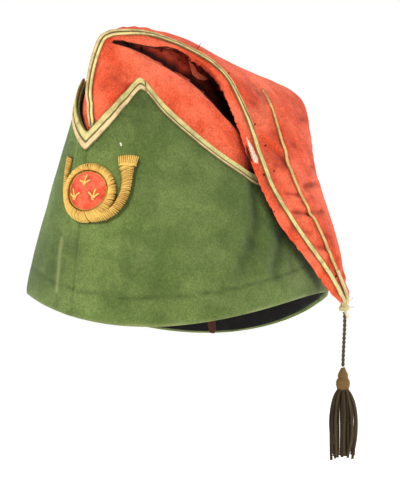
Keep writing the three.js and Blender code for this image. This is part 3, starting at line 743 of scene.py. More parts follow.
def makeBraid(nodeName, count, materials, loop=False):
    bm = bmesh.new()
    bm.from_mesh(nodes[nodeName].data)
    bmesh.ops.remove_doubles(bm, verts=bm.verts, dist=1e-6)
    for label in ("along", "across"):
        bm.verts.layers.float.new(label)
    bm.normal_update()
    start, blocked = None, ()
    if loop:
        start = [v for v in bm.verts if abs(v.co.x) < 2e-5 and v.co.y > 0]
        blocked = {e.other_vert(v) for v in start for e in v.link_edges if e.other_vert(v).co.x < -2e-5}
        rings = tubeRings(bm, count, start, blocked) + [sorted(blocked, key=lambda v: v.index)]
    else:
        rings = tubeRings(bm, count)
    stations = markBraid(bm, rings)
    joinPairs(bm, 50)
    mesh = subdivided(meshFrom(bm, nodeName + " cords"), 2)
    along = np.empty(len(mesh.vertices))
    mesh.attributes["along"].data.foreach_get("value", along)
    past = along - flapTurn
    if loop:
        sides = [[s for s in stations if s["foot"].x * side > 0] for side in (-1, 1)]
        low, high = sorted(max(half, key=lambda s: s["foot"].z)["length"] * 1000 for half in sides)
        past = np.maximum(low - along, along - high)
    storeValue(mesh, "arm", np.clip(past / (2 if loop else 30), 0, 1))
    piece = linkPiece(nodeName + "_cords", mesh, materials)
    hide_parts(nodeName)
    return piece, stations


flapTurn = 170.0  # millimetres along the front braid at which its groove goes over to one side
buff = braidMaterial(
    "buff braid", tint(228, 202, 140), tint(244, 224, 150), tint(84, 70, 22), grooveAt=0.5, shift=-0.36, lineWide=0.2,
)
edgeBuff = braidMaterial(
    "edge braid", tint(236, 204, 152), tint(222, 208, 136), tint(88, 78, 32),
    grooveAt=0.46, shift=-0.22, lineWide=0.12, mitre=0.9,
)
pipingBuff = braidMaterial(
    "piping braid", tint(238, 218, 146), tint(228, 200, 128), tint(128, 84, 40), grooveAt=0.12, shift=0.0, lineWide=0.12,
)
turbanBraid, edgeStations = makeBraid("turban_braid", 9, [edgeBuff], loop=True)
frontBraid, frontStations = makeBraid("front_braid", 9, [buff])
sidePiping, sideStations = makeBraid("side_piping", 6, [pipingBuff])
print("braids:", len(edgeStations), len(frontStations), len(sideStations), "stations")


# Bag: red cloth drawn into small puckers along its seams
bagDress = {
    "levels": 2, "pucker": 0.55 * mm, "ruffle": 3.0, "crest": 0.165, "spacing": 10.5 * mm,
    "soft": 0.7 * mm, "fine": 0.2 * mm,
}

# Small tucks where the seams draw the cloth in, by their ends in the picture, with width and depth in millimetres and
# the shade painted along them; a negative shade makes them paler
bagTucks = [
    {"from": (307, 119), "to": (299, 120.6), "wide": 1.5, "deep": 0.7, "shade": 0.5},
    {"from": (310, 133.6), "to": (303.5, 136.5), "wide": 1.4, "deep": 0.5, "shade": 0.35},
    {"from": (312.5, 150), "to": (307.5, 151.6), "wide": 1.5, "deep": 0.5, "shade": 0.35},
    {"from": (315.5, 165.6), "to": (309.5, 167.2), "wide": 1.5, "deep": 0.6, "shade": 0.4},
    {"from": (317.5, 182.6), "to": (304.5, 187), "wide": 1.9, "deep": 1.1, "shade": 0.8},
    {"from": (321.5, 211.5), "to": (309, 214.6), "wide": 1.7, "deep": 1.0, "shade": 0.75},
    {"from": (331, 237), "to": (323.5, 236), "wide": 1.7, "deep": 0.9, "shade": 0.7},
    {"from": (337.5, 256), "to": (331, 253), "wide": 1.4, "deep": 0.6, "shade": 0.5},
    {"from": (298, 194.8), "to": (285, 192.6), "wide": 1.5, "deep": 0.9, "shade": 0.7},
    {"from": (308.5, 214.4), "to": (293, 211.5), "wide": 1.8, "deep": 1.1, "shade": 0.8},
    {"from": (311, 233), "to": (301.5, 229.8), "wide": 1.4, "deep": 0.8, "shade": 0.6},
    {"from": (327, 249), "to": (317, 246), "wide": 1.5, "deep": 0.8, "shade": 0.6},
    {"from": (286, 163.6), "to": (271, 147), "wide": 2.8, "deep": 0.7, "shade": 0.35},
    {"from": (297, 148.6), "to": (290.5, 143.6), "wide": 2.6, "deep": 0.5, "shade": 0.5},
    {"from": (262, 119.5), "to": (248.5, 110), "wide": 2.2, "deep": -0.6, "shade": -0.1},
    {"from": (285, 154), "to": (263, 134), "wide": 2.4, "deep": -0.7, "shade": -0.1},
    {"from": (289, 191), "to": (275.5, 181), "wide": 2.6, "deep": -0.6, "shade": 0},
    {"from": (274, 105), "to": (252, 84), "wide": 4.5, "deep": 0.5, "shade": 0.3},
]

# Rubbed and soiled places of the red cloth, and painted shade at the ends of tucks, by their middle in the picture,
# with their size in pixels
bagSoilAndShade = [
    {"at": (263, 97), "size": 12, "soil_and_shade": 0.7},
    {"at": (254, 86), "size": 7, "soil_and_shade": 0.5},
    {"at": (113, 74), "size": 9, "soil_and_shade": 0.5},
    {"at": (104, 88), "size": 6, "soil_and_shade": 0.5},
    {"at": (112, 50), "size": 4, "soil_and_shade": 0.6},
    {"at": (107, 107), "size": 5, "soil_and_shade": 0.6},
    {"at": (120, 92), "size": 4, "soil_and_shade": 0.6},
    {"at": (126, 84), "size": 4, "soil_and_shade": 0.7},
    {"at": (266.4, 148.2), "size": 3.4, "soil_and_shade": 0.9},
    {"at": (277, 162.5), "size": 6.5, "soil_and_shade": 1.0},
    {"at": (283.5, 164.5), "size": 4.5, "soil_and_shade": 0.8},
    {"at": (293.2, 145), "size": 4.5, "soil_and_shade": 0.9},
    {"at": (259.3, 122.3), "size": 4.5, "soil_and_shade": 0.7},
    {"at": (273.6, 134), "size": 5.5, "soil_and_shade": 0.6},
    {"at": (250, 105), "size": 4.5, "soil_and_shade": 0.5},
    {"at": (296.8, 215), "size": 4, "soil_and_shade": 0.8},
    {"at": (309, 185.8), "size": 3.6, "soil_and_shade": 0.9},
    {"at": (321.5, 211.5), "size": 3, "soil_and_shade": 0.8},
    {"at": (298, 195.4), "size": 2, "soil_and_shade": 0.9},
    {"at": (302, 118), "size": 5, "soil_and_shade": 0.5},
    {"at": (312, 171), "size": 4, "soil_and_shade": 0.4},
    {"at": (124, 76), "size": 16, "soil_and_shade": 0.42},
    {"at": (296, 108), "size": 12, "soil_and_shade": 0.36},
    {"at": (282, 158), "size": 13, "soil_and_shade": 0.25},
    {"at": (232, 152), "size": 10, "soil_and_shade": 0.25},
]

# The cut edge of the fold as the picture shows it. It is notched, a lobe every few millimetres.
cutEdge = [
    (141, 39), (172, 45.6), (188, 55.8), (204, 71), (218, 84), (223, 96.6), (233, 114.5), (241, 132.3),
    (247, 160), (257, 183), (274, 211.5), (290, 235), (318, 277), (330, 290),
]


# Small folds square to a seam, which fade with the distance from it
def puckerField(places, stations, seed):
    tree = KDTree(len(stations) * 8)
    line = []
    for i in range(len(stations) - 1):
        for k in range(8):
            share = k / 8
            a, b = stations[i], stations[i + 1]
            length = a["length"] + (b["length"] - a["length"]) * share
            foot, up = a["foot"].lerp(b["foot"], share), a["up"].lerp(b["up"], share)
            line.append((foot, up, length, a["ahead"].cross(a["up"])))
    for i, station in enumerate(line):
        tree.insert(station[0], i)
    tree.balance()
    moves = np.zeros_like(places)
    for row, p in enumerate(places):
        point = Vector(p)
        foot, i, distance = tree.find(point)
        if distance > 0.026:
            continue
        up, length, side = line[i][1:]
        below = (point - foot).dot(up)
        aside = (point - foot - up * below).length
        if below < -0.0085:
            continue
        phase = length / bagDress["spacing"] + 0.9 * noise.noise(Vector((length * 60, seed, 0)))
        wave = math.sin(2 * math.pi * phase)
        wave *= 0.55 + 0.45 * noise.noise(Vector((length * 25, seed + 9, 0)))
        fade = math.exp(-(((aside - 0.0062) / 0.0052) ** 2)) * min(1, max(0, (aside - 0.0016) / 0.002))
        if (point - foot).dot(side) < 0 and length < bagDress["crest"]:
            wave = bagDress["ruffle"] * (0.5 + 0.8 * wave)
            fade = math.exp(-(((aside - 0.0045) / 0.004) ** 2)) * min(1, max(0, (aside - 0.0014) / 0.0012))
        moves[row] = np.array(up) * (bagDress["pucker"] * wave * fade)
    return moves


# Notches along a line of the picture, in the plane of the picture and no deeper than one layer of cloth
def notchEdge(places, line, spacing, depth, reach):
    px, py, near = seenFrom(places)
    moves = np.zeros_like(places)
    runs = 0.0
    for (ax, ay), (bx, by) in zip(line, line[1:]):
        length = math.hypot(bx - ax, by - ay)
        way = np.array([bx - ax, by - ay]) / length
        along = (px - ax) * way[0] + (py - ay) * way[1]
        beside = (px - ax) * way[1] - (py - ay) * way[0]
        here = (along >= 0) & (along < length) & (np.abs(beside) < reach)
        front = near > (near[here].max() - 7 * mm if here.any() else 0)
        lobe = np.abs(np.sin(math.pi * (runs + along) / spacing)) ** 0.7 - 0.6
        lobe += 0.5 * np.sin((runs + along) * 1.7) * np.sin((runs + along) * 0.61)
        size = here * front * lobe * depth * np.exp(-((beside / (reach * 0.6)) ** 2))
        aside = np.array(acrossView) * way[1] + np.array([0, 0, way[0]])
        moves += aside * (-size[:, None])
        runs += length
    return moves


# The pocket under the fold, in the picture: its lip, and the edge of the cloth above it
pocketDress = {
    "lip": [
        (110.5, 42.4), (114, 44.2), (118, 45), (130, 48.5), (145, 55.3), (160, 64), (175, 73.5), (190, 82.5),
        (200, 91), (208, 101), (216, 110), (225, 118), (234, 128), (239, 134),
    ],
    "top": [
        (110.5, 42), (114, 39.8), (122, 40), (126, 41.4), (137, 43.6), (148, 46), (157, 46.8), (167, 46),
        (176, 48.6), (184, 53), (190, 58.4), (199, 67.3), (209, 77), (217.9, 85.2), (222.3, 95.9), (232.1, 112),
        (234, 120), (239, 130),
    ],
    "fold": [  # where the CAD's fold ends, and how far above that the picture's does
        (140, 44, 0), (151, 48.6, 1.5), (162.5, 54, 6.4), (176, 59.3, 9.8), (189, 65.5, 8.6), (207, 78, 5.6),
        (222, 91.4, 2), (229.5, 104.8, 0),
    ],
    "push": 5.5 * mm, "rim": 0.7 * mm,
}


# How far a point of the picture lies inside the pocket: it sets how far the pocket is pressed in and the shade
# painted there
def pocketShare(px, py):
    lipX, lipY = zip(*pocketDress["lip"])
    topX, topY = zip(*pocketDress["top"])
    inside = np.interp(px, [110.5, 112.5, 236, 239], [0, 1, 1, 0])
    under = np.interp(px, lipX, lipY) - py
    below = py - np.interp(px, topX, topY)
    soft = np.interp(px, [196, 212], [0.8, 7.0])
    return inside * np.clip(under / soft, 0, 1) * np.clip(below / 0.8, 0, 1), under


# How near the first surfaces behind a pixel stand to the camera
def depthsBehind(tree, px, py, count=3):
    start, way = pictureRay(px, py)
    depths = []
    while len(depths) < count:
        hit = tree.ray_cast(start, way)[0]
        if not hit:
            break
        depths.append(seenFrom(np.array([hit]))[2][0])
        start = hit + way * 0.05 * mm
    return depths


# Draws the fold's edge up to where the picture has it, then presses the pocket in behind its lip.
# Only the near wall moves, and no further than the far one. Returns which points are on the near wall.
def openPocket(mesh):
    places = coordinates(mesh)
    px, py, near = seenFrom(places)
    foldX, foldY, rises = zip(*pocketDress["fold"])
    edge = np.interp(px, foldX, foldY)
    rise = np.interp(px, foldX, rises, 0, 0)
    fade = np.clip(1 - np.abs(py - edge) / np.where(py < edge, 17.0, 12.0), 0, 1)
    front = np.clip((near + 0.030) / 0.02, 0, 1)
    places[:, 2] += rise * fade * fade * (3 - 2 * fade) * front / 1.66 * mm
    moveTo(mesh, places)
    tree = treeOf(mesh)
    px, py, near = seenFrom(places)
    share, under = pocketShare(px, py)
    rim = np.exp(-(((under + 1.2) / 1.6) ** 2)) * (px > 112) * (px < 206)
    moves = np.zeros_like(places)
    nearWall = np.zeros(len(places))
    for row in np.nonzero((share > 0) | (rim > 0.05))[0]:
        depths = depthsBehind(tree, px[row], py[row])
        if not depths or near[row] < depths[min(1, len(depths) - 1)] - 1.2 * mm:
            continue
        nearWall[row] = 1
        room = depths[1] - depths[2] - 1.2 * mm if len(depths) == 3 else 1.5 * mm
        push = min(pocketDress["push"] * share[row], max(room, 0))
        moves[row] = np.array(towardsCamera) * (pocketDress["rim"] * rim[row] - push)
    moveTo(mesh, places + moves)
    return nearWall


# Parts the faces of the flap's front, where the cloth shows its small tucks, and those round the pocket
def refineFlap(mesh):
    bm = bmesh.new()
    bm.from_mesh(mesh)
    lipX, lipY = zip(*pocketDress["lip"])
    topX, topY = zip(*pocketDress["top"])

    def shows(face):
        middle = face.calc_center_median()
        return middle.x > 0.03 and face.normal.dot(towardsCamera) > 0.1 and middle.z > 0.004

    def nearPocket(face):
        px, py, near = seenFrom(np.array([face.calc_center_median()]))
        low, high = np.interp(px[0], topX, topY) - 3, np.interp(px[0], lipX, lipY) + 3
        inside = 108 < px[0] < 240 and low < py[0] < high
        return inside and face.normal.dot(towardsCamera) > -0.2 and near[0] > -0.02

    for chosen, cuts in ((shows, 1), (nearPocket, 2)):
        edges = [e for e in bm.edges if any(chosen(f) for f in e.link_faces)]
        bmesh.ops.subdivide_edges(bm, edges=edges, cuts=cuts, use_grid_fill=True)
    bm.to_mesh(mesh)
    bm.free()
    smoothShade(mesh)


def makeBag():
    dress = bagDress
    mesh = subdivided(meshFrom(copyOf("flame"), "bag cloth"), dress["levels"])
    refineFlap(mesh)
    places = coordinates(mesh)
    moves = puckerField(places, frontStations, 1.0) + puckerField(places, sideStations, 4.0)
    free = np.clip((places[:, 0] - 0.02) / 0.03, 0.25, 1)[:, None]
    tip = np.clip((places[:, 2] - 0.006) / 0.02, 0.1, 1)[:, None]
    moves += vectorNoise(places, 0.021, 2) * dress["soft"] * free * tip
    moves += vectorNoise(places, 0.0062, 6) * dress["fine"] * tip
    tucks, shade = pressLines(places, treeOf(mesh), bagTucks)
    moveTo(mesh, places + moves + tucks)
    nearWall = openPocket(mesh)
    places = coordinates(mesh)
    moveTo(mesh, places + notchEdge(places, cutEdge, 8.5, 0.55 * mm, 3.2))
    after = coordinates(mesh)
    feet = np.array([s["foot"] for s in frontStations[::2]])
    edge = np.sqrt(((after[:, None, :] - feet[None]) ** 2).sum(2).min(1))
    # Darker: soil, darkening along the front braid, random tone, painted shade in the tucks, and the listed soiled
    # and shaded spots
    soil_and_shade = 0.6 * np.exp(-((edge / 0.0036) ** 2)) + 0.35 * softNoise(after, 0.02, 8) + shade
    px, py, _ = seenFrom(after)
    mottle = 0.6 + 0.8 * softNoise(after, 0.004, 17)
    for spot in bagSoilAndShade:
        away = np.hypot(px - spot["at"][0], py - spot["at"][1]) / spot["size"]
        soil_and_shade += spot["soil_and_shade"] * np.exp(-away ** 2) * mottle
    storeValue(mesh, "soil_and_shade", np.clip(soil_and_shade, 0, 1))
    # Painted shade: darker where nearby cloth closes in, less beside the tear, and near black inside the pocket
    deep = closedIn(mesh, treeOf(mesh, turban.data), 34 * mm)
    deep *= 1 - 0.7 * np.exp(-(((px - 241) ** 2 + (py - 152) ** 2) / 18 ** 2))
    share, under = pocketShare(px, py)
    inside = 0.62 + 0.2 * softNoise(after, 0.008, 14) + 0.42 * np.exp(-((under / 8) ** 2))
    storeValue(mesh, "deep", np.maximum(deep, share * inside * nearWall))
    piece = linkPiece("flame_cloth", mesh, [bagWool])
    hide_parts("flame")
    return piece


bagWool = bagMaterial("red wool", tint(252, 114, 78), tint(222, 80, 44), tint(252, 138, 102), 46.0)
bag = makeBag()
bagTree = treeOf(bag.data)
print("the bag is in place")


# Takes a braid along with the cloth under it, by the mean way the cloth has moved along the braid
def settle(piece, before, after, gap):
    places = coordinates(piece.data)
    along = np.empty(len(places))
    piece.data.attributes["along"].data.foreach_get("value", along)
    bins = (along / 1.2).astype(int)
    moves = np.zeros((bins.max() + 1, 3))
    counts = np.zeros(bins.max() + 1)
    for place, k in zip(places, bins):
        foot, normal = before.find_nearest(Vector(place), 6 * mm)[:2]
        hit = after.ray_cast(foot + normal * 4 * mm, -normal, 8 * mm)[0] if foot else None
        if hit:
            moves[k] += np.array(hit - foot - normal * gap)
            counts[k] += 1
    known = np.nonzero(counts)[0]
    means = moves[known] / counts[known][:, None]
    steps = np.arange(len(moves))
    weights = [0.1, 0.2, 0.4, 0.2, 0.1]
    rows = [np.interp(steps, known, means[:, axis]) for axis in range(3)]
    rows = [np.convolve(np.pad(row, 2, "edge"), weights, "valid") for row in rows]
    moveTo(piece.data, places + np.array([np.interp(along / 1.2 - 0.5, steps, row) for row in rows]).T)


settle(turbanBraid, treeOf(nodes["turban"].data), turbanTree, 0.5 * mm)
settle(frontBraid, treeOf(nodes["flame"].data), bagTree, 0.5 * mm)
settle(sidePiping, treeOf(nodes["flame"].data), bagTree, 0.4 * mm)


# Sweatband and its strip
bandDress = [
    {
        "node": "sweatband", "name": "sweatband_leather", "slot": "black_leather", "finish": "black leather",
        "light": tint(17, 14, 13), "dark": tint(6, 5, 5), "gloss": 0.55,
    },
    {
        "node": "sweatband_strip", "name": "sweatband_join", "slot": "brown_leather", "finish": "brown leather",
        "light": tint(122, 74, 50), "dark": tint(72, 38, 26), "gloss": 0.6,
    },
]


def makeBand():
    for dress in bandDress:
        mesh = subdivided(meshFrom(copyOf(dress["node"]), dress["name"]), 2)
        places = coordinates(mesh)
        moveTo(mesh, places + vectorNoise(places, 0.012, 11) * 0.22 * mm)
        material = leatherMaterial(dress["finish"], dress["light"], dress["dark"], dress["gloss"])
        piece = linkPiece(dress["name"], mesh, [material])
        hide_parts(dress["node"])


makeBand()


# Badge: a padded horn laid over with metal thread, round a red disc with stitched sprigs
hornDress = {
    "ring": (4.5, 71.1, 17.3), "hole": (4, 72.3, 13.4, 12.3), "wire": 0.45 * mm, "spacing": 1.04,
    "bell": [
        (9, 56.4, 4.6), (16.4, 57.2, 4.6), (22.2, 60.6, 4.6), (26, 66.6, 4.8), (27.5, 73, 4.9), (27.6, 80, 5.6),
        (27.1, 85, 7), (26.8, 87.4, 9),
    ],
    "mouth": {"from": (26.8, 87.2), "to": (26.9, 92.6), "narrow": 9.2, "wide": 11.4, "wires": 11},
    "piece": [(-9.8, 65, 3), (-12.6, 73, 2.8), (-13.5, 81.5, 2.6), (-13, 87.5, 2.8), (-12.3, 92.7, 3.4)],
}
clothRows = {}


# A place on the turban, by the length of cloth from the front seam, in millimetres, and its normal
def clothPlace(across, height):
    def cast(angle, z):
        out = Vector((math.sin(angle), -math.cos(angle), 0))
        for drop in range(40):
            hit, normal = turbanTree.ray_cast(Vector((0, 0, (z - drop) * mm)) + out * 0.2, -out)[:2]
            if hit:
                return hit + Vector((0, 0, drop * mm)), normal

    key = round(height / 2) * 2
    angles = [math.radians(1.6 * k) for k in range(-48, 49)]
    if key not in clothRows:
        points = [cast(a, key)[0] for a in angles]
        gaps = [(b - a).length * 1000 for a, b in zip(points, points[1:])]
        lengths = np.concatenate([[0], np.cumsum(gaps)])
        clothRows[key] = lengths - lengths[48]
    return cast(float(np.interp(across, clothRows[key], angles)), height)


# A wire over the padding, along a line of places measured on the cloth
def laidWire(bm, tree, line, radius, lift, tone=0.0):
    path = []
    for across, height in line:
        point, normal = clothPlace(across, height)
        hit = tree.ray_cast(point + normal * 0.014, -normal, 0.0138)[0]
        path.append((hit if hit else point + normal * 0.4 * mm) + normal * lift)
    sweep(bm, path, 6, lambda angle, length: radius, tone=tone)


# An uneven value for a numbered thread, from a tenth below nought to about one
def unevenTone(number):
    return max(0.0, 0.3 + 0.75 * noise.noise(Vector((number * 0.83, number * 0.31, 2.5))))


# Wires square to a branch, at even spaces along its stations
def branchWires(bm, tree, stations, slant):
    dress = hornDress
    stations = np.array(stations, float)
    run = np.concatenate([[0], np.cumsum(np.hypot(*np.diff(stations[:, :2], axis=0).T))])
    for number, s in enumerate(np.arange(0.3, run[-1], dress["spacing"])):
        here = np.array([np.interp(s, run, stations[:, k]) for k in range(3)])
        after = np.array([np.interp(min(s + 1.5, run[-1]), run, stations[:, k]) for k in range(2)])
        before = np.array([np.interp(max(s - 1.5, 0), run, stations[:, k]) for k in range(2)])
        way = (after - before) / np.linalg.norm(after - before)
        wobble = 0.16 * noise.noise(Vector((s * 3.1, here[0], 0)))
        aside = np.array([way[1], -way[0]]) + way * (slant + wobble)
        half = here[2] / 2 + 0.25 + 0.3 * noise.noise(Vector((s * 5.7, 3, 1)))
        lift = (0.1 + 0.16 * abs(noise.noise(Vector((s * 4.3, 1, 7))))) * mm
        line = [here[:2] + aside * half * k for k in np.linspace(-1, 1, 9)]
        laidWire(bm, tree, line, dress["wire"], lift, unevenTone(number + here[0]))


def makeHorn():
    dress = hornDress
    padding = subdivided(meshFrom(copyOf("badge_horn"), "horn padding"), 1)
    tree = treeOf(padding)
    storeValue(padding, "along", coordinates(padding)[:, 2] * 1000)
    core = linkPiece("badge_horn_padding", padding, [goldPadding])
    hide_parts("badge_horn")
    bm = bmesh.new()
    ringAcross, ringHeight, radius = dress["ring"]
    holeAcross, holeHeight, halfWide, halfHigh = dress["hole"]
    count = round(2 * math.pi * (radius - 1.5) / dress["spacing"])
    for i in range(count):
        angle = 2 * math.pi * i / count
        late = angle + 0.16 + 0.05 * noise.noise(Vector((i * 0.7, 0, 0)))
        inner = np.array([holeAcross + halfWide * math.cos(angle), holeHeight + halfHigh * math.sin(angle)])
        outer = np.array([ringAcross + radius * math.cos(late), ringHeight + radius * math.sin(late)])
        lift = (0.1 + 0.2 * abs(noise.noise(Vector((i * 0.9, 4, 0))))) * mm
        line = [inner + (outer - inner) * k for k in np.linspace(0.02, 1.04, 8)]
        laidWire(bm, tree, line, dress["wire"], lift, unevenTone(i))
    branchWires(bm, tree, dress["bell"], 0.2)
    branchWires(bm, tree, dress["piece"], -0.2)
    # The bell's mouth has its wires laid the other way, over a collar
    mouth = dress["mouth"]
    foot, top = np.array(mouth["from"]), np.array(mouth["to"])
    aside = np.array([top[1] - foot[1], foot[0] - top[0]]) / np.linalg.norm(top - foot)
    for number, share in enumerate(np.linspace(-0.5, 0.5, mouth["wires"])):
        low, high = foot + aside * share * mouth["narrow"], top + aside * share * mouth["wide"]
        high = high + (top - foot) * (0.12 - 0.6 * share * share)
        line = [low + (high - low) * k for k in np.linspace(0, 1, 6)]
        laidWire(bm, tree, line, dress["wire"] * 1.08, 0.25 * mm, 0.6 * unevenTone(number * 3.7))
    collar = [foot + aside * share * (mouth["narrow"] + 0.6) for share in np.linspace(-0.5, 0.5, 10)]
    laidWire(bm, tree, collar, 0.6 * mm, 0.5 * mm, 0.1)
    linkPiece("badge_horn_thread", meshFrom(bm, "horn thread"), [goldWire])


def makeDisc():
    mesh = subdivided(meshFrom(copyOf("badge_disc"), "disc cloth"), 3)
    places = coordinates(mesh)
    bumps = vectorNoise(places, 0.0035, 21) * 0.42 * mm + vectorNoise(places, 0.0011, 22) * 0.12 * mm
    moveTo(mesh, places + bumps)
    storeValue(mesh, "soil_and_shade", np.clip(0.25 + 0.8 * softNoise(places, 0.004, 23), 0, 0.7))
    disc = linkPiece("badge_disc_cloth", mesh, [discWool])
    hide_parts("badge_disc")
    tree = treeOf(mesh)
    across, height, halfWide, halfHigh = hornDress["hole"]
    bm = bmesh.new()
    turns = np.linspace(0, 2 * math.pi, 73)
    halfWide, halfHigh = halfWide - 0.9, halfHigh - 0.9
    line = [(across + halfWide * math.cos(a), height + halfHigh * math.sin(a)) for a in turns]
    # The edge wire's dark tone is painted shade at the inner edge of the ring
    laidWire(bm, tree, line, 0.42 * mm, 0.1 * mm, 1.3)
    linkPiece("badge_disc_edge", meshFrom(bm, "disc edge"), [goldWire])
    for sprig in sprigDress:
        bm = bmesh.new()
        foot = np.array([sprig["across"], sprig["height"] - sprig["length"] * 0.4])
        for lean in sprig["blades"]:
            way = np.array([math.sin(math.radians(lean)), math.cos(math.radians(lean))])
            reach = sprig["length"] * (1 - abs(lean) / 130)
            bend = np.array([way[1], -way[0]]) * math.copysign(0.9, lean)
            line = [foot + way * reach * k + bend * k * k for k in np.linspace(0, 1, 7)]
            laidWire(bm, tree, line, 0.48 * mm, 0.35 * mm)
        tied = [foot + np.array([0.8 * math.cos(a), 0.8 * math.sin(a)]) for a in np.linspace(0, 5.6, 9)]
        laidWire(bm, tree, tied, 0.36 * mm, 0.4 * mm, 0.2)
        piece = linkPiece(sprig["node"] + "_thread", meshFrom(bm, sprig["node"]), [goldWire])
        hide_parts(sprig["node"])


sprigDress = [
    {"node": "badge_sprig_top", "across": 3.2, "height": 78.4, "length": 5.4, "blades": [-42, 0, 42]},
    {"node": "badge_sprig_left", "across": -3.4, "height": 70, "length": 6.0, "blades": [-38, -4, 30]},
    {"node": "badge_sprig_right", "across": 9.2, "height": 70, "length": 6.0, "blades": [-30, 4, 38]},
]
goldPadding = threadMaterial("gold padding", tint(160, 108, 42), tint(70, 40, 12), 0.7, 0.15)
goldWire = threadMaterial("gold wire", tint(255, 220, 116), tint(168, 104, 34), 0.55, 0.15)
discWool = bagMaterial("disc wool", tint(252, 112, 78), tint(230, 82, 54), tint(252, 132, 98), 140.0)
makeHorn()
makeDisc()
print("the badge is in place")


# Tip: the braids run together to a knot of wound thread with frayed ends
tipDress = {
    "centre": (88.4, 48.0), "low": 0.8, "high": 6.6, "core": 1.9, "thread": 0.42 * mm, "turns": 8,
    "tail": 1.15 * mm,
    "frays": [
        [(90.2, 48.5, 6), (91.4, 49.5, 7.4), (92, 50.2, 7.2), (92.8, 50.8, 9)],
        [(90.4, 48.2, 3.4), (91.8, 49, 3.8), (92.8, 50, 2.8), (93.6, 51, 3.6)],
        [(90, 47.2, 1.6), (90.8, 48, -0.4), (91.4, 48.6, -2), (91, 49.2, -3.8)],
        [(89.8, 46.6, 2.2), (90.6, 45.6, 0.6), (90.2, 45, -1.4)],
        [(90.4, 47.6, 4.6), (91.8, 47.2, 5.2), (92.4, 47.6, 6.2)],
        [(89.2, 48.4, 7), (90.4, 49.4, 8.8), (90.6, 50.2, 10.6)],
    ],
    "stub": [(89.4, 47.2, 1.2), (89.9, 47.6, -0.4), (89.7, 48.2, -1.6), (90.1, 48.6, -2.8), (89.7, 48.9, -3.6)],
}


def makeTip():
    dress = tipDress
    core = subdivided(meshFrom(copyOf("tip_binding"), "tip core"), 1)
    core = linkPiece("tip_binding_core", core, [paleThread])
    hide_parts("tip_binding")
    around = treeOf(bag.data, core.data)
    bm = bmesh.new()
    cx, cy = dress["centre"]
    path = []
    for k in range(dress["turns"] * 18 + 1):
        angle, share = 2 * math.pi * k / 18, k / (dress["turns"] * 18)
        out = Vector((math.cos(angle), math.sin(angle), 0))
        middle = Vector((cx, cy, dress["high"] + (dress["low"] - dress["high"]) * share)) * mm
        hit = around.ray_cast(middle + out * 6 * mm, -out, 6 * mm)[0]
        reach = max((hit - middle).dot(out) if hit else 0, dress["core"] * mm * math.sin(0.5 + 2.1 * share))
        path.append(middle + out * (reach + 0.2 * mm + 0.1 * mm * math.sin(k * 0.37)))
    sweep(bm, path, 7, lambda angle, length: dress["thread"])
    knot = Vector((cx, cy, 5.2)) * mm
    for stations in (frontStations, sideStations):
        last, before = stations[-1], stations[-4]
        start, earlier = (s["foot"] + s["up"] * 0.9 * mm for s in (last, before))
        path = splinePath([earlier, start, start.lerp(knot, 0.55) + last["up"] * 1.2 * mm, knot], 0.6 * mm)
        sweep(bm, path, 10, lambda angle, length: dress["tail"] * (0.85 + 0.15 * math.cos(2 * angle)))
    for points in dress["frays"]:
        fray = splinePath([Vector(p) * mm for p in points], 0.7 * mm)
        sweep(bm, fray, 5, lambda angle, length: 0.15 * mm)
    stub = splinePath([Vector(p) * mm for p in dress["stub"]], 0.5 * mm)
    sweep(bm, stub, 7, lambda angle, length: 0.5 * mm)
    linkPiece("tip_binding_thread", meshFrom(bm, "tip thread"), [paleThread])


paleThread = threadMaterial("pale thread", tint(232, 216, 160), tint(160, 138, 84), 0.6, 0.0)
makeTip()


# Tassel: a wound head and a fringe of twisted strands
tasselDress = {
    "head": [
        (0.3, 0.9), (1.6, 1.5), (3, 2.2), (4.4, 2.85), (5.6, 3.0), (6.4, 2.6), (7.2, 3.3), (8.4, 3.85),
        (9.8, 4.0), (11.4, 3.8), (12.8, 3.3), (14.0, 2.9),
    ],
    "thread": 0.4 * mm, "pitch": 0.8, "strand": 0.95 * mm, "twist": 2.7 * mm, "from": 13.2, "drop": 52.6,
    "rings": [
        {"count": 12, "start": 2.6, "spread": 8.3, "end": 7.4, "phase": 0.1},
        {"count": 9, "start": 1.9, "spread": 5.4, "end": 5.4, "phase": 0.35},
        {"count": 5, "start": 0.9, "spread": 2.4, "end": 2.8, "phase": 0.0},
    ],
}


# One strand of the fringe: it swells out below the head, hangs and strays a little
def strandPath(top, ring, number, place):
    def stray(k):
        return noise.noise(Vector((number * 9.7 + place * 4.3 + 0.37, k * 1.9 + 0.2, number)))

    dress = tasselDress
    around = 2 * math.pi * (place + ring["phase"]) / ring["count"] + 0.5 * stray(1)
    wide = ring["spread"] * (1 + 0.4 * stray(2))
    end = ring["end"] * (1 + 0.4 * stray(3))
    drop = dress["drop"] + 5.5 * stray(4) - dress["from"]
    knots = []
    start = ring["start"]
    for share, reach in ((0, start), (0.1, start * 0.5 + wide * 0.5), (0.34, wide), (0.68, wide), (1, end)):
        sway = around + 0.28 * stray(5 + share * 3) * share
        out = Vector((math.cos(sway), math.sin(sway), 0)) * reach
        knots.append(top + (out - Vector((0, 0, dress["from"] + drop * share))) * mm)
    return splinePath(knots, 0.7 * mm), stray(6)


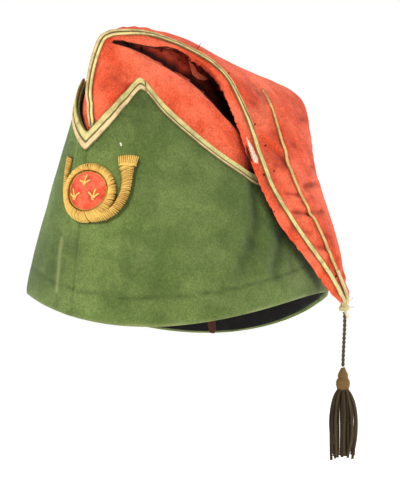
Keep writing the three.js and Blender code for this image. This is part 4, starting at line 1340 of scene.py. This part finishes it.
def makeTassel():
    dress = tasselDress
    top = Vector(cordDress["route"][-1]) * mm + Vector((0, 0, -0.4 * mm))
    drops, radii = zip(*dress["head"])
    bm = bmesh.new()
    line = [bm.verts.new(top + Vector((max(r - 0.35, 0.05) * mm, 0, -d * mm))) for d, r in dress["head"]]
    for a, b in zip(line, line[1:]):
        bm.edges.new((a, b))
    bmesh.ops.spin(
        bm, geom=bm.verts[:] + bm.edges[:], cent=top, axis=(0, 0, 1), angle=2 * math.pi, steps=24,
        use_merge=True,
    )
    bmesh.ops.remove_doubles(bm, verts=bm.verts, dist=1e-6)
    bmesh.ops.holes_fill(bm, edges=bm.edges, sides=40)
    bmesh.ops.recalc_face_normals(bm, faces=bm.faces)
    core = linkPiece("tassel_core", meshFrom(bm, "tassel core"), [headCore])
    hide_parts("tassel")
    bm = bmesh.new()
    path, drop, angle = [], drops[0], 0.0
    while drop < drops[-1]:
        radius = float(np.interp(drop, drops, radii))
        radius += 0.14 * noise.noise(Vector((drop * 2, angle * 0.4, 0)))
        path.append(top + Vector((radius * math.cos(angle), radius * math.sin(angle), -drop)) * mm)
        angle += 2 * math.pi / 22
        drop += dress["pitch"] / 22
    sweep(bm, path, 6, lambda a, length: dress["thread"])
    linkPiece("tassel_head_thread", meshFrom(bm, "tassel head"), [headThread])
    bm = bmesh.new()
    for number, ring in enumerate(dress["rings"]):
        for place in range(ring["count"]):
            path, more = strandPath(top, ring, number, place)
            strand = twoPly(dress["strand"] * (1 + 0.15 * more), dress["twist"])
            sweep(bm, path, 8, strand, start=place * 0.004, tone=max(0.0, 0.3 + more))
    linkPiece("tassel_fringe", meshFrom(bm, "tassel fringe"), [fringeThread])


headCore = plainCloth("tassel core", tint(84, 62, 34), tint(50, 35, 18))
headThread = threadMaterial("tassel head thread", tint(150, 116, 64), tint(70, 50, 24), 0.6, 0.1)
makeTassel()
print("the tassel is in place")


# Wear: a tear that shows the canvas, a torn tongue, moth holes and a lint speck, each set by its place in the picture
wearDress = {
    "canvas": [
        (244.9, 135), (249.5, 141), (253.3, 148.7), (257.9, 158), (258.7, 164), (254, 163.3), (251.8, 158),
        (248.7, 148.7), (246.4, 141),
    ],
    "slit": [(245.8, 144), (247.8, 148), (250.2, 155), (253, 162), (251.4, 161.5), (248.4, 157), (246.4, 151)],
    "tongue": [
        (188, 56), (192, 59), (193, 65), (196, 71), (200, 74), (205, 76), (207.5, 79), (203, 80.5), (197, 79),
        (192, 75), (190, 69), (188, 62),
    ],
    "speck": [(119.6, 142.4), (121.2, 142.8), (122, 145), (121.6, 146.6), (120.2, 145.4)],
    "holes": [
        {"at": (255, 124.3), "size": 1.0}, {"at": (264, 174.7), "size": 1.0}, {"at": (274, 171), "size": 0.9},
        {"at": (336, 276.5), "size": 1.1}, {"at": (338.2, 283.4), "size": 0.8}, {"at": (228.8, 73), "size": 0.9},
        {"at": (265.5, 145.7), "size": 1.1}, {"at": (274, 211.5), "size": 0.7}, {"at": (240, 97), "size": 0.6},
        {"at": (300.5, 197), "size": 0.8},
    ],
}


# A small piece of cloth laid on a surface, by its outline in the picture
def patchOn(tree, name, outline, lift, thick, material, cuts=3):
    bm = bmesh.new()
    corners = [bm.verts.new((px, py, 0)) for px, py in outline]
    bm.faces.new(corners)
    bmesh.ops.triangulate(bm, faces=bm.faces[:])
    bmesh.ops.subdivide_edges(bm, edges=bm.edges[:], cuts=cuts, use_grid_fill=True)
    for vertex in bm.verts:
        hit, normal = pictureHit(tree, vertex.co.x, vertex.co.y)
        vertex.co = hit + normal * lift
    bmesh.ops.recalc_face_normals(bm, faces=bm.faces)
    if sum((f.normal for f in bm.faces), Vector()).dot(towardsCamera) < 0:
        bmesh.ops.reverse_faces(bm, faces=bm.faces)
    bmesh.ops.solidify(bm, geom=bm.faces[:], thickness=thick)
    bmesh.ops.recalc_face_normals(bm, faces=bm.faces)
    return linkPiece(name, meshFrom(bm, name), [material])


# A torn edge round an outline: an uneven roll of cloth
def raggedEdge(tree, outline, radius, lift, seed):
    path = []
    closed = outline + outline[:1]
    for (ax, ay), (bx, by) in zip(closed, closed[1:]):
        for k in range(5):
            px, py = ax + (bx - ax) * k / 5, ay + (by - ay) * k / 5
            stray = 0.45 * noise.noise(Vector((px * 0.9, py * 0.9, seed)))
            hit, normal = pictureHit(tree, px + stray, py - stray)
            path.append(hit + normal * lift)
    path.append(path[0])
    bm = bmesh.new()

    def outline(angle, length):
        return radius * (1 + 0.6 * noise.noise(Vector((length * 900, angle, seed))))

    sweep(bm, path, 6, outline)
    return meshFrom(bm, "torn edge")


def makeWear():
    dress = wearDress
    # The slit and the moth holes are dark sheets painted as the shade inside them
    patchOn(bagTree, "tear_slit", dress["slit"], 0.12 * mm, 0.1 * mm, paintedHoleShade)
    patchOn(bagTree, "tear_canvas", dress["canvas"], 0.2 * mm, 0.25 * mm, canvas)
    lips = raggedEdge(bagTree, dress["canvas"], 0.36 * mm, 0.2 * mm, 3)
    linkPiece("tear_edge", lips, [tornWool])
    patchOn(bagTree, "torn_tongue", dress["tongue"], 1.1 * mm, 0.5 * mm, tornWool)
    for number, hole in enumerate(dress["holes"]):
        px, py = hole["at"]
        outline = []
        for k in range(9):
            angle = 2 * math.pi * k / 9
            reach = hole["size"] * (1 + 0.5 * noise.noise(Vector((k * 1.3, number * 2.1, 0))))
            outline.append((px + reach * math.cos(angle), py + reach * 1.15 * math.sin(angle)))
        patchOn(bagTree, f"moth_hole_{number}", outline, 0.06 * mm, 0.06 * mm, paintedHoleShade, 1)
    patchOn(turbanTree, "lint_speck", dress["speck"], 0.15 * mm, 0.25 * mm, canvas, 1)


tornWool = plainCloth("torn wool", tint(244, 126, 88), tint(196, 66, 40), 1100.0)
# Painted shade for the slit and the moth holes
paintedHoleShade = plainCloth("torn shadow", tint(84, 20, 12), tint(46, 12, 8), 900.0)
canvas = plainCloth("canvas lining", tint(244, 232, 212), tint(206, 190, 164), 1400.0)
makeWear()
print("the wear is in place")


# Stage: a pale floor under the hat, a pale room and soft lamps
stageDress = {
    "floor": -0.0935, "pale": (0.94, 0.94, 0.94, 1), "room": 0.5, "seen": 1.08, "floorGlow": 0.56,
}
lamps = [
    {"name": "key", "from": (-0.55, -1.25, 1.25), "size": 1.1, "power": 24.0},
    {"name": "left fill", "from": (1.5, -0.7, 0.5), "size": 1.4, "power": 11.0},
    {"name": "back", "from": (0.5, 1.4, 1.0), "size": 1.4, "power": 9.0},
]


def makeStage():
    bm = bmesh.new()
    bmesh.ops.create_grid(bm, x_segments=1, y_segments=1, size=12)
    bmesh.ops.translate(bm, verts=bm.verts, vec=(0, 0, stageDress["floor"]))
    mesh = meshFrom(bm, "floor")
    floor = bpy.data.objects.new("floor", mesh)
    scene.collection.objects.link(floor)
    material, _, shader = newMaterial("pale floor", **{
        "Base Color": stageDress["pale"], "Roughness": 0.9, "Specular IOR Level": 0.1,
        "Emission Color": (1, 1, 1, 1), "Emission Strength": stageDress["floorGlow"],
    })
    mesh.materials.append(material)
    world = bpy.data.worlds.new("room")
    scene.world = world
    world.use_nodes = True
    tree = world.node_tree
    back = tree.nodes["Background"]
    back.inputs[0].default_value = stageDress["pale"]
    # The room is seen white, and lights the hat a little less
    seen = tree.nodes.new("ShaderNodeLightPath").outputs["Is Camera Ray"]
    tree.links.new(ramp(tree, seen, 0.0, 1.0, stageDress["room"], stageDress["seen"]), back.inputs[1])
    for lamp in lamps:
        data = bpy.data.lights.new(lamp["name"], "AREA")
        data.size, data.energy = lamp["size"], lamp["power"]
        light = bpy.data.objects.new(lamp["name"], data)
        light.location = lamp["from"]
        aim = Vector((0, 0, 0.04)) - Vector(lamp["from"])
        light.rotation_euler = aim.to_track_quat("-Z", "Y").to_euler()
        scene.collection.objects.link(light)
    scene.view_settings.view_transform = "Standard"
    scene.view_settings.look = "None"


makeStage()
print("the scene is ready")
